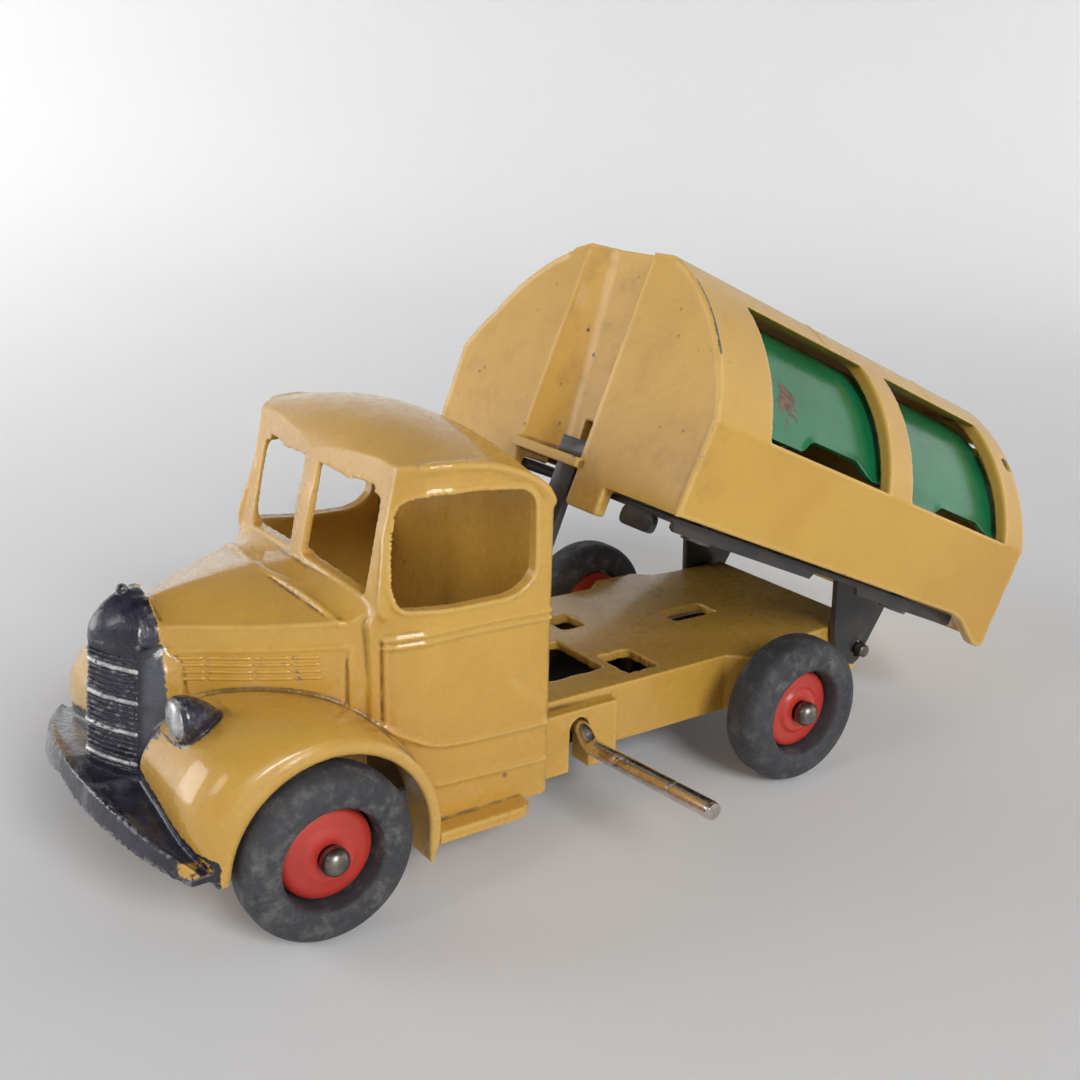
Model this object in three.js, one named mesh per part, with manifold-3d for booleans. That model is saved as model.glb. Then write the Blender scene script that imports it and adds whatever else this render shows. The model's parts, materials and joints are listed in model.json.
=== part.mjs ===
// Toy refuse tipper: a die-cast cab and chassis, a tipping arched body with sliding shutters,
// a tinplate sub-frame, a cranked lifting arm and four rubber-tyred wheels.
// Millimetres, +Z up, the truck faces -Y. It is drawn with y = 0 at the front axle and z = 0 on the
// ground, then moved so that the origin is the centre of the base plate's underside.
import * as THREE from "three";
import { mergeVertices } from "three/addons/utils/BufferGeometryUtils.js";
import Module from "manifold-3d";

const wasm = await Module();
wasm.setup();

// ---------- driving dimensions ----------
const GAP = 0.3; // clearance between neighbouring pieces
const WHEELBASE = 60;
const AXLE_Z = 8.65; // axle height, and the tyre's radius
const AXLE_R = 0.95;
const TYRE = { x: 20.35, width: 5.6, bore: 5.05, segments: 32 };
const HUB = { r: 4.75, bore: 1.25, face: 1.55, back: -2.1, segments: 24 };

const CAB = { half: 18, rear: 27.3, bottom: 5.9, wall: 1.4 };
const ROOF_SIDE = [[9.2, 40.2], [10, 41.8], [11.5, 42.6], [15, 42.9], [18.8, 42.5], [22.9, 41.2], [25.8, 39.4], [27.3, 37.4]];
const ROOF_CENTRE = [[9.2, 41], [10.1, 42.4], [11.5, 43.6], [13.7, 44.7], [16.6, 45.1], [19.4, 44.9], [21.5, 44.5],
  [23.2, 43.8], [24.7, 42.9], [26.3, 41.3], [27.3, 39.6]];
const SCREEN = { base: 6.9, sweep: 0.09, rake: 0.2, datum: 30 };

const BONNET = { front: -9.2, rear: 9.5, bottom: 10 };
const CREASE_X = [[-9.2, 4.2], [-8, 4.7], [5, 13.4], [9.5, 15.4]];
const CREASE_Z = [[-9.2, 27], [5, 27.8], [7.5, 29.3], [9.5, 29.6]];
const CROWN_Z = [[-9.2, 28.3], [2, 30.6], [7, 30.8], [9.5, 30.8]];
const SHOULDER_Z = [[-9.2, 24.6], [9.5, 25.6]];

const ARCH = { y: 0.9, z: 7.9, r: 10.2, inner: 12.6 }; // front wheel arch
const FENDER = { rim: 11.3, outer: 21, crestX: 14, inner: 6.2 };
const CREST_R = [[-35, 11.3], [40, 11.5], [55, 11.9], [74, 12.6], [90, 13.1], [108, 13.8], [122, 14.5], [135, 15],
  [146, 15], [159, 14], [170, 12.8], [180, 11.6], [190, 10.6]];

const BUMPER = { half: 20.4, front: -18, bow: 0.013, top: 13.8, bottom: 12.6, droop: 0.0095 };
const APRON_REAR = [[0, -12], [8, -10.6], [13.5, -9.9], [20.4, -10.4]];

const DECK = { top: 13.55, sheet: 1.2, half: 13.5, wall: 1.3, bottom: 6.5, end: 78.7 };
const HOUSING = { half: 15.2, top: 12.7, bottom: 5.4, end: 38.3 };
const BOSS = { half: 15.6, start: 55.6, full: 58.2, end: 64, taper: 66.6 };
const BASE = { z: 6.7, sheet: 0.6, half: 11.3, front: -3.4, rear: 74 };

const PIVOT = { y: 77.3, z: 10.2, r: 0.8 }; // the tipping hinge
const TILT = THREE.MathUtils.degToRad(23.03); // the body is raised by this at rest
const BODY = { half: 23.5, front: -46.3, rear: 11.8, floor: 8.35, toe: 5.4, skin: 1.6 };
const VAULT = { z: 10.6, r: 25.3, spring: 18.25, crown: 34.3, rim: 34.7, slab: 1.7 };
const OPENING = { bottom: 18.7, top: 32.1, spans: [[-37.8, -16.9], [-12.5, 7.7]] };
const CHANNEL = { half: 5.9, top: 0.9, bottom: 3.4, ledge: 10 };
const SHUTTER = { x: 2.1, z: 11.1, r: 20.9, sheet: 0.5, low: 21.5, high: 72 };
const DOOR = { axisY: 10.8, axisZ: 28.6, roll: 13.6, pin: 17.4, sheet: 1, bottom: 6.4 };
const TRAY = { z: 7.45, sheet: 0.6, half: 21.5, flange: 6.6, front: -44.4, rear: 6.2 };
const LEG = { x: 14.2, sheet: 0.8 };
const CRANK = { y: 33.2, z: 10.5, r: 0.95, bend: 16.3, drop: 1.4, tip: [36.2, 34, 9.95] };
const ARM = { inner: 1.5, outer: 4.9, plate: 4.6, headY: -45.6, headZ: 11.4 };

const PAINT = { tan: 0xc9a150, green: 0x2c8a58, red: 0xbf4438, rubber: 0x3c3c3e, black: 0x2c2c30, steel: 0x9a958c };

// ---------- helpers ----------
const table = (points, t) => {
  if (t <= points[0][0]) return points[0][1];
  for (let i = 1; i < points.length; i++) {
    const [a, va] = points[i - 1];
    const [b, vb] = points[i];
    if (t <= b) return va + ((vb - va) * (t - a)) / (b - a);
  }
  return points[points.length - 1][1];
};

// A closed three.js geometry as a manifold, its faces turned outwards.
function solid(geometry) {
  const bare = geometry.index ? geometry.toNonIndexed() : geometry.clone();
  for (const name of Object.keys(bare.attributes)) if (name !== "position") bare.deleteAttribute(name);
  const merged = mergeVertices(bare, 1e-4);
  const p = merged.attributes.position.array;
  const t = Uint32Array.from(merged.index.array);
  let volume = 0;
  for (let i = 0; i < t.length; i += 3) {
    const [a, b, c] = [t[i] * 3, t[i + 1] * 3, t[i + 2] * 3];
    volume += p[a] * (p[b + 1] * p[c + 2] - p[b + 2] * p[c + 1]) + p[a + 1] * (p[b + 2] * p[c] - p[b] * p[c + 2])
      + p[a + 2] * (p[b] * p[c + 1] - p[b + 1] * p[c]);
  }
  if (volume < 0) for (let i = 0; i < t.length; i += 3) [t[i + 1], t[i + 2]] = [t[i + 2], t[i + 1]];
  return new wasm.Manifold(new wasm.Mesh({ numProp: 3, vertProperties: Float32Array.from(p), triVerts: t }));
}

function geometryOf(manifold) {
  const m = manifold.getMesh();
  const geometry = new THREE.BufferGeometry();
  geometry.setAttribute("position", new THREE.BufferAttribute(Float32Array.from(m.vertProperties), 3));
  geometry.setIndex(new THREE.BufferAttribute(Uint32Array.from(m.triVerts), 1));
  return geometry;
}

const join = (...parts) => parts.reduce((a, b) => a.add(b));
const cut = (from, ...tools) => tools.reduce((a, b) => a.subtract(b), from);

// A box between two corners.
function block(x0, x1, y0, y1, z0, z1) {
  const g = new THREE.BoxGeometry(x1 - x0, y1 - y0, z1 - z0);
  return solid(g.translate((x0 + x1) / 2, (y0 + y1) / 2, (z0 + z1) / 2));
}

const mirrored = (make) => join(make(1), make(-1));
const bothSides = (x0, x1, ...rest) => mirrored((s) => block(Math.min(s * x0, s * x1), Math.max(s * x0, s * x1), ...rest));

// An outline of [y, z] points extruded along X.
function alongX(points, x0, x1) {
  const shape = new THREE.Shape(points.map(([y, z]) => new THREE.Vector2(y, z)));
  const g = new THREE.ExtrudeGeometry(shape, { depth: x1 - x0, bevelEnabled: false });
  const basis = new THREE.Matrix4().makeBasis(
    new THREE.Vector3(0, 1, 0), new THREE.Vector3(0, 0, 1), new THREE.Vector3(1, 0, 0));
  return solid(g.applyMatrix4(basis).translate(x0, 0, 0));
}

// An outline of [x, z] points extruded along Y.
function alongY(points, y0, y1) {
  const shape = new THREE.Shape(points.map(([x, z]) => new THREE.Vector2(x, z)));
  const g = new THREE.ExtrudeGeometry(shape, { depth: y1 - y0, bevelEnabled: false });
  return solid(g.rotateX(Math.PI / 2).translate(0, y1, 0));
}

// An outline of [x, y] points extruded along Z.
function alongZ(points, z0, z1) {
  const shape = new THREE.Shape(points.map(([x, y]) => new THREE.Vector2(x, y)));
  const g = new THREE.ExtrudeGeometry(shape, { depth: z1 - z0, bevelEnabled: false });
  return solid(g.translate(0, 0, z0));
}

function rodX(r, x0, x1, y, z, segments = 16) {
  const g = new THREE.CylinderGeometry(r, r, x1 - x0, segments);
  return solid(g.rotateZ(Math.PI / 2).translate((x0 + x1) / 2, y, z));
}

function rodZ(r, x, y, z0, z1, segments = 14) {
  const g = new THREE.CylinderGeometry(r, r, z1 - z0, segments);
  return solid(g.rotateX(Math.PI / 2).translate(x, y, (z0 + z1) / 2));
}

// A lathe about the X axis: the profile is [offset along X, radius] points.
function turned(profile, x, y, z, segments, turn = 0) {
  const g = new THREE.LatheGeometry(profile.map(([along, r]) => new THREE.Vector2(r, along)), segments);
  return solid(g.rotateZ(-Math.PI / 2).rotateX(turn).translate(x, y, z));
}

// A box whose grid points are moved to place(u, v, w), each of them from 0 to 1.
function warped(nu, nv, nw, place) {
  const g = new THREE.BoxGeometry(1, 1, 1, nu, nv, nw);
  const p = g.attributes.position;
  for (let i = 0; i < p.count; i++) {
    p.setXYZ(i, ...place(p.getX(i) + 0.5, p.getY(i) + 0.5, p.getZ(i) + 0.5));
  }
  return solid(g);
}

const arc = (cx, cy, r, a0, a1, n) => Array.from({ length: n + 1 }, (_, i) => {
  const a = THREE.MathUtils.degToRad(a0 + ((a1 - a0) * i) / n);
  return [cx + r * Math.cos(a), cy + r * Math.sin(a)];
});

const truck = new THREE.Group();
truck.position.set(0, -WHEELBASE / 2, -BASE.z);
const tipping = new THREE.Group(); // y and z from the tipping hinge, square to the body
tipping.position.set(0, PIVOT.y, PIVOT.z);
tipping.rotation.x = -TILT;
truck.add(tipping);

function add(group, name, manifold, color, roughness, metalness = 0) {
  const mesh = new THREE.Mesh(geometryOf(manifold), new THREE.MeshStandardMaterial({ color, roughness, metalness }));
  mesh.name = name;
  group.add(mesh);
}

// ---------- cab and chassis casting ----------
function screenY(x, z) {
  return SCREEN.base + SCREEN.sweep * Math.min(Math.abs(x), 14) + SCREEN.rake * (z - SCREEN.datum);
}

function roofZ(x, y) {
  const side = table(ROOF_SIDE, y);
  return side + (table(ROOF_CENTRE, y) - side) * (1 - (x / CAB.half) ** 2);
}

// The cab's outer form, drawn in by `inset` on every side.
function cabForm(inset, bottom) {
  const levels = [[0, bottom], [0.18, 14.4], [0.36, 27.5], [0.45, 30], [0.8, 35.5]];
  return warped(12, 10, 8, (u, v, w) => {
    const lane = Math.sin((u - 0.5) * Math.PI * 0.92) / Math.sin(0.46 * Math.PI);
    const drawIn = 1.3 * Math.max(0, 1 - v / 0.12) ** 2 + 0.5 * Math.max(0, (v - 0.94) / 0.06);
    const x = lane * (CAB.half - inset - drawIn);
    const low = table(levels, Math.min(w, 0.8));
    const front = low < 29 ? 7.3 : screenY(x, low);
    const back = CAB.rear - inset;
    const yAt = (f) => f + inset + (back - f - inset) * v;
    if (w <= 0.8) return [x, yAt(front), low];
    const y = yAt(front + (w - 0.8) * 5);
    return [x, y, low + ((roofZ(x, y) - inset - low) * (w - 0.8)) / 0.2];
  });
}

function windows() {
  const side = [[10.3, 29.3], [9.5, 31], [10.1, 35.6], [10.9, 38.8], [12.2, 39.8], [16, 40.1], [21, 39.7], [23.4, 39.2],
    [24.4, 38], [24.7, 33], [24.6, 30.3], [23.8, 29.2], [21.8, 28.7], [13.5, 28.8]];
  const pane = (s) => alongY([[s * 1.9, 30.6], [s * 13.4, 29.9], [s * 13.5, 39.5], [s * 1.95, 40.2]], 4, 14);
  return join(alongX(side, -CAB.half - 2, CAB.half + 2), mirrored(pane));
}

function bonnet() {
  const levels = [0, 0.35, 0.6, 0.8];
  return warped(12, 12, 5, (u, v, w) => {
    const y = BONNET.front + (BONNET.rear - BONNET.front) * v;
    const crease = table(CREASE_X, y);
    const s = (u - 0.5) * 2;
    if (w > 0.9) return [s * crease, y, table(CREASE_Z, y) + (table(CROWN_Z, y) - table(CREASE_Z, y)) * (1 - s * s)];
    const half = crease + (w > 0.7 ? 0.35 : 0.9);
    const shoulder = table(SHOULDER_Z, y);
    const z = w > 0.7 ? shoulder : BONNET.bottom + ((shoulder - 2.8 - BONNET.bottom) * w) / levels[2];
    return [s * half, y, z];
  });
}

// One front wing: radii about the arch centre, from the rim outside to the crest beside the bonnet.
function fender(side) {
  const stations = [0, 0.45, 0.62, 0.76, 0.87, 0.95, 1];
  const g = new THREE.CylinderGeometry(1, 1, 1, 40, stations.length - 1);
  g.rotateZ(Math.PI / 2);
  const p = g.attributes.position;
  const span = FENDER.outer - FENDER.crestX;
  for (let i = 0; i < p.count; i++) {
    const k = Math.round((p.getX(i) + 0.5) * (stations.length - 1));
    const x = k === 0 ? FENDER.inner : FENDER.crestX + (span * (stations[k] - 0.45)) / 0.55;
    const away = Math.hypot(p.getY(i), p.getZ(i));
    let angle = THREE.MathUtils.radToDeg(Math.atan2(p.getZ(i), p.getY(i)));
    if (angle < -90) angle += 360;
    const under = angle < -32 || angle > 192;
    const crest = table(CREST_R, angle);
    const s = Math.max(0, (x - FENDER.crestX) / span);
    const r = under ? 5 : FENDER.rim + (crest - FENDER.rim) * Math.sqrt(Math.max(0, 1 - s * s));
    const scale = away < 1e-6 ? 0 : r / away;
    p.setXYZ(i, x * side, ARCH.y + p.getY(i) * scale, ARCH.z + p.getZ(i) * scale);
  }
  const raw = solid(g);
  const above = block(-30, 30, -20, 20, 8.2, 40);
  const tail = bothSides(ARCH.inner - 1, 30, ARCH.y + 1, 20, 3.8, 9);
  return raw.intersect(join(above, tail));
}

function grille() {
  const z0 = 11;
  return warped(8, 2, 6, (u, v, w) => {
    const s = (u - 0.5) * 2;
    const z = w < 0.84 ? z0 + (25.6 - z0) * (w / 0.83) : 28.6 - 1.2 * s * s;
    const half = 6.2 - 0.5 * w;
    const ridge = w < 0.84 ? -15.25 + 1.15 * w : -12.6;
    const nose = Math.min(Math.abs(s) / 0.72, 1);
    const flank = Math.max(0, (Math.abs(s) - 0.72) / 0.28);
    const face = ridge + 3.3 * nose + 1.9 * flank;
    return [s * half, face + (-8.6 - face) * v, w > 0.99 && v > 0.9 ? z + 1 : z];
  });
}

function bumper() {
  return warped(16, 3, 1, (u, v, w) => {
    const x = (u * 2 - 1) * BUMPER.half;
    const drop = BUMPER.droop * x * x;
    const front = BUMPER.front + BUMPER.bow * x * x;
    const y = front + (table(APRON_REAR, Math.abs(x)) - front) * v;
    const top = BUMPER.top - drop - 0.6 * v;
    return [x, w > 0.5 ? y + 0.4 * (1 - v) : y, w > 0.5 ? top : BUMPER.bottom - drop - 0.2 * v];
  });
}

function headlamp(side) {
  const profile = [[0, 0], [0, 1.9], [0.25, 2.25], [1, 2.2], [2.2, 1.8], [3.4, 1.05], [4.1, 0.3], [4.2, 0]];
  const g = new THREE.LatheGeometry(profile.map(([along, r]) => new THREE.Vector2(r, along)), 16);
  const stalk = block(10.3, 12, -9.2, -7, 17, 20);
  const lamp = solid(g.translate(11.2, -9.9, 20.6));
  const both = join(lamp, stalk);
  return side > 0 ? both : both.mirror([1, 0, 0]);
}

function cabShell() {
  const outer = join(cabForm(0, CAB.bottom), bonnet(), mirrored(fender), grille(), bumper(), mirrored(headlamp));
  const cavity = cabForm(CAB.wall, 4).intersect(block(-20, 20, 8.6, 30, 4, 50));
  const bay = alongZ([[-3.6, -8.4], [3.6, -8.4], [11.2, 1], [11.2, 9.2], [-11.2, 9.2], [-11.2, 1]], 0, 23.5);
  const wells = mirrored((s) => alongX(
    [[ARCH.y - ARCH.r, 0], ...arc(ARCH.y, ARCH.z, ARCH.r, 180, 0, 28), [ARCH.y + ARCH.r, 0]],
    s > 0 ? ARCH.inner : -25, s > 0 ? 25 : -ARCH.inner));
  return cut(outer, cavity, bay, wells, windows());
}

function runningBoards() {
  return mirrored((s) => alongZ([[s * 16.8, 12.4], [s * 20.3, 12.4], [s * 20.3, 22.6], [s * 19.6, 23.8], [s * 16.8, 23.8]], 5.1, 6.5));
}

function chassis() {
  const h = DECK.half;
  const plan = [[h, CAB.rear - 1], [h, BOSS.start], [BOSS.half, BOSS.full], [BOSS.half, BOSS.end], [h, BOSS.taper], [h - 0.3, DECK.end]];
  const outline = [...plan, ...plan.map(([x, y]) => [-x, y]).reverse()];
  const frame = alongZ(outline, DECK.bottom, DECK.top);
  const w = h - DECK.wall;
  const hollow = block(-w, w, CAB.rear - 3, DECK.end - 2.6, 0, DECK.top - DECK.sheet);
  const housing = bothSides(w, HOUSING.half, CAB.rear - 1, HOUSING.end, HOUSING.bottom, HOUSING.top);
  return join(cut(frame, hollow), housing);
}

const slotZ = (r, y, z, x0, x1) => alongX([[y - r, 0], ...arc(y, z, r, 180, 0, 10), [y + r, 0]], x0, x1);

function castingCuts() {
  const axleR = AXLE_R + GAP;
  return join(
    block(-BASE.half - GAP, BASE.half + GAP, -8, CAB.rear, 0, BASE.z + BASE.sheet + GAP),
    slotZ(axleR, 0, AXLE_Z, -FENDER.outer, FENDER.outer),
    slotZ(axleR, WHEELBASE, AXLE_Z, -17, 17),
    slotZ(1.25, CRANK.y, CRANK.z, 8, 17),
    slotZ(1.25, CRANK.y, CRANK.z, -14.2, -8),
    rodX(PIVOT.r + GAP, -17, 17, PIVOT.y, PIVOT.z),
    block(-1, 8.9, 28.4, 41.2, 11, 15),
    block(5.5, 11.7, 42.3, 47, 11, 15),
    block(-2, 1.9, 57.6, 64.6, 11, 15),
    block(-7.2, -2.9, 43.6, 47.4, 11, 15));
}

add(truck, "cab_chassis", cut(join(cabShell(), runningBoards(), chassis()), castingCuts()), PAINT.tan, 0.3);

// ---------- base plate, axles, rivets ----------
const RIVETS = [4.2, 52];
const basePlate = cut(
  alongZ([[-7.5, BASE.front], [7.5, BASE.front], [BASE.half, 2], [BASE.half, BASE.rear], [-BASE.half, BASE.rear], [-BASE.half, 2]],
    BASE.z, BASE.z + BASE.sheet),
  ...RIVETS.map((y) => rodZ(2 + GAP, 0, y, 5, 9)));
add(truck, "base_plate", basePlate, PAINT.black, 0.45, 0.4);
const plateRivet = (y) => join(rodZ(1.2, 0, y, BASE.z + 0.05, 9.6), rodZ(2, 0, y, BASE.z + 0.05, BASE.z + BASE.sheet));
add(truck, "base_plate_front_rivet", plateRivet(RIVETS[0]), PAINT.tan, 0.4);
add(truck, "base_plate_rear_rivet", plateRivet(RIVETS[1]), PAINT.tan, 0.4);

function axle(y) {
  const end = TYRE.x + HUB.face + GAP;
  const half = [[end, AXLE_R], [end, 1.4], [end + 1.2, 1.35], [end + 1.75, 0.8], [end + 1.95, 0]];
  const profile = [...half.map(([x, r]) => [-x, r]).reverse(), ...half];
  return turned(profile, 0, y, AXLE_Z, 16);
}
add(truck, "front_axle", axle(0), PAINT.steel, 0.35, 0.9);
add(truck, "rear_axle", axle(WHEELBASE), PAINT.steel, 0.35, 0.9);

// ---------- wheels ----------
function tyre(x, y) {
  const w = TYRE.width / 2;
  const flat = AXLE_Z / Math.cos(Math.PI / TYRE.segments);
  const half = [[0.9, flat], [1.75, 8.4], [2.45, 7.7], [w, 6.6], [w - 0.15, 5.6], [w - 0.5, TYRE.bore]];
  const ring = [...half, ...half.map(([a, r]) => [-a, r]).reverse()];
  return turned([...ring, ring[0]], x, y, AXLE_Z, TYRE.segments, Math.PI / TYRE.segments);
}

function hub(side, y) {
  const ring = [[HUB.face, HUB.bore], [HUB.face, 2.3], [1.2, 2.6], [1.05, 3.9], [0.75, 4.5], [0.2, HUB.r], [HUB.back, HUB.r],
    [HUB.back, HUB.bore]];
  return turned([...ring, ring[0]].map(([a, r]) => [a * side, r]), side * TYRE.x, y, AXLE_Z, HUB.segments);
}
for (const [end, y] of [["front", 0], ["rear", WHEELBASE]]) {
  for (const [hand, side] of [["left", 1], ["right", -1]]) {
    add(truck, `${end}_${hand}_tyre`, tyre(side * TYRE.x, y), PAINT.rubber, 0.8);
    add(truck, `${end}_${hand}_hub`, hub(side, y), PAINT.red, 0.35);
  }
}

// ---------- tipping body ----------
const TRAY_RIVETS = [[-18.7, -38], [18.7, -38], [-18.7, -2], [18.7, -2]];

// The body's outline across, drawn in by `inset`, with its flat crown at `crown`.
function vaultOutline(inset, bottom, crown) {
  const r = VAULT.r - inset;
  const rise = THREE.MathUtils.radToDeg(Math.asin((crown - VAULT.z) / r));
  const springA = THREE.MathUtils.radToDeg(Math.acos(Math.min(1, (BODY.half - inset) / r)));
  const right = [[BODY.half - inset, bottom], ...arc(0, VAULT.z, r, springA, rise, 14)];
  return [...right, ...right.map(([x, z]) => [-x, z]).reverse()];
}

function bodyShell() {
  const side = [[BODY.front, BODY.floor], [BODY.front, 40], [BODY.rear, 40], [BODY.rear, BODY.toe + 0.4], [10.8, BODY.toe],
    [9.7, BODY.toe + 0.2], [7.8, 6.6], [5.6, 7.9], [3.6, BODY.floor]];
  const rim = block(-7.6, 7.6, OPENING.spans[1][1] + 0.2, BODY.rear, 33, VAULT.rim);
  const outer = join(alongY(vaultOutline(0, BODY.toe - 1, VAULT.crown), BODY.front, 20), rim).intersect(alongX(side, -30, 30));
  const room = alongY(vaultOutline(BODY.skin, 0, VAULT.crown - VAULT.slab), BODY.front + 1.5, BODY.rear + 1);
  const pad = block(-7.3, 7.3, BODY.front, BODY.front + 5, BODY.floor, 33);
  const tympanum = alongY(vaultOutline(0.4, 0, VAULT.crown - 0.5), 9.9, BODY.rear - 0.2)
    .intersect(block(-30, 30, 9, 12, DOOR.axisZ + 1.5, 40));
  const tabs = bothSides(CHANNEL.half, 11.6, BODY.front, BODY.front + 1.5, 5.2, BODY.floor + 1);
  const bosses = TRAY_RIVETS.map(([x, y]) =>
    block(x < 0 ? -22.5 : 16.4, x < 0 ? -16.4 : 22.5, y - 2.4, y + 2.4, BODY.floor, BODY.floor + 3));
  return join(cut(outer, room), pad, tympanum, tabs, ...bosses);
}

function bodyCuts() {
  const { half, top, bottom, ledge } = CHANNEL;
  const f = BODY.front;
  const wedge = alongX([[f - 1, ledge + 0.4], [f + bottom, ledge + 0.4], [f + top, 36], [f - 1, 36]], -half, half);
  const belowLedge = block(-half, half, f - 1, f + 6, 4, ledge - 0.6);
  const armWindow = block(ARM.inner - 0.9, ARM.outer + 0.9, f - 1, f + 6, ledge - 1, 14.8);
  const sides = OPENING.spans.map(([y0, y1]) => bothSides(9.5, 30, y0, y1, OPENING.bottom, OPENING.top));
  const pinHole = rodX(0.75, -30, 30, DOOR.axisY, DOOR.axisZ, 12);
  const rivetHoles = TRAY_RIVETS.map(([x, y]) => rodZ(0.9 + GAP, x, y, 8, 12, 12));
  return [wedge, belowLedge, armWindow, ...sides, pinHole, ...rivetHoles];
}
add(tipping, "refuse_body", cut(bodyShell(), ...bodyCuts()), PAINT.tan, 0.3);

// A curved tinplate shutter, its lower edge raised in the middle for a fingertip.
function shutter(side, [y0, y1], open) {
  const { x, z, r, sheet, low, high } = SHUTTER;
  const outline = [...arc(x, z, r, low, high, 14), ...arc(x, z, r - sheet, high, low, 14)];
  const plate = alongY(outline.map(([a, b]) => [a * side, b]), y0 - 0.9, y1 + 0.9);
  const mid = (y0 + y1) / 2 + 0.6;
  const grip = alongX([[mid - 4.6, 0], [mid - 4.6, 18.9], [mid - 3.4, 19.9], [mid + 2.6, 19.9], [mid + 4.6, 18.9], [mid + 4.6, 0]], -30, 30);
  const made = plate.subtract(grip);
  return made.translate([-side * x, 0, -z]).rotate([0, -side * open, 0]).translate([side * x, 0, z]);
}
for (const [end, span, open] of [["front", OPENING.spans[0], 2], ["rear", OPENING.spans[1], 0.6]]) {
  for (const [hand, side] of [["left", 1], ["right", -1]]) {
    add(tipping, `${end}_${hand}_shutter`, shutter(side, span, open), PAINT.green, 0.25, 0.1);
  }
}

function rearDoor() {
  const { axisY, axisZ, roll, sheet, bottom } = DOOR;
  const panel = alongY(vaultOutline(BODY.skin + 0.4, bottom, axisZ + 1), axisY - sheet / 2, axisY + sheet / 2)
    .intersect(join(block(-30, 30, 0, 20, 0, axisZ - 1.8), block(-roll, roll, 0, 20, 20, axisZ - 0.9)));
  const barrel = rodX(1.1, -roll, roll, axisY, axisZ, 14);
  const handle = block(-3, 3, axisY, axisY + 1.2, 11.5, 12.3);
  return cut(join(panel, barrel, handle), rodX(0.75, -roll - 1, roll + 1, axisY, axisZ, 12));
}
add(tipping, "rear_door", rearDoor(), PAINT.tan, 0.3);
add(tipping, "door_hinge_pin", rodX(0.45, -DOOR.pin, DOOR.pin, DOOR.axisY, DOOR.axisZ, 10), PAINT.steel, 0.35, 0.9);

// ---------- tinplate sub-frame ----------
function subFrame() {
  const { z, sheet, half, flange, front, rear } = TRAY;
  const tray = block(-half, half, front, rear, z, z + sheet);
  const flanges = bothSides(half - sheet, half, front, rear, flange, z + sheet);
  const leg = mirrored((s) => alongX([[-8.8, z + sheet], [-5, 0.3], [-2, -1.9], [0, -2.3], [0.8, -1.6], [2.1, 6.4], [2.1, z + sheet]],
    s > 0 ? LEG.x - LEG.sheet / 2 : -LEG.x - LEG.sheet / 2, s > 0 ? LEG.x + LEG.sheet / 2 : -LEG.x + LEG.sheet / 2));
  const holes = TRAY_RIVETS.map(([x, y]) => rodZ(0.9 + GAP, x, y, 5, 10, 12));
  const armSlot = block(-ARM.plate - 0.6, ARM.outer + 0.9, front - 1, -13.5, 4, 12);
  const overWheel = WHEELBASE - PIVOT.y;
  const notches = block(-30, 30, overWheel - 4.3, overWheel + 4.3, 6, z);
  return cut(join(cut(join(tray, flanges), notches), leg), rodX(PIVOT.r + GAP, -17, 17, 0, 0, 14), armSlot, ...holes);
}
add(tipping, "sub_frame", subFrame(), PAINT.black, 0.45, 0.4);
const trayRivet = ([x, y]) => join(rodZ(0.9, x, y, 6.5, BODY.floor + 2.6, 12), rodZ(1.7, x, y, 6.2, TRAY.z - GAP, 14));
for (const [x, y] of TRAY_RIVETS) {
  const name = `sub_frame_${y < -20 ? "front" : "rear"}_${x > 0 ? "left" : "right"}_rivet`;
  add(tipping, name, trayRivet([x, y]), PAINT.steel, 0.4, 0.8);
}

const pivotPin = turned([[-15.9, 0], [-15.6, 0.6], [-15.2, PIVOT.r], [15.2, PIVOT.r], [15.6, 0.6], [15.9, 0]], 0, PIVOT.y, PIVOT.z, 14);
add(truck, "pivot_pin", pivotPin, PAINT.steel, 0.35, 0.9);

// ---------- crank and lifting arm ----------
function crankRod() {
  const { y, z, bend, drop, tip } = CRANK;
  const path = new THREE.CurvePath();
  const points = [[-13.2, y, z], [bend - 1, y, z], [bend + 0.6, y, z - drop], tip].map((p) => new THREE.Vector3(...p));
  for (let i = 1; i < points.length; i++) path.add(new THREE.LineCurve3(points[i - 1], points[i]));
  const eased = new THREE.CatmullRomCurve3(
    [points[0], new THREE.Vector3(4, y, z), new THREE.Vector3(12, y, z), points[1], points[2],
      points[2].clone().lerp(points[3], 0.15), points[2].clone().lerp(points[3], 0.5), points[3]], false, "centripetal");
  const section = new THREE.Shape(arc(0, 0, CRANK.r, 0, 324, 9).map(([a, b]) => new THREE.Vector2(a, b)));
  return solid(new THREE.ExtrudeGeometry(section, { steps: 44, extrudePath: eased, bevelEnabled: false }));
}
add(truck, "crank_handle", crankRod(), PAINT.steel, 0.25, 1);

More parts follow.
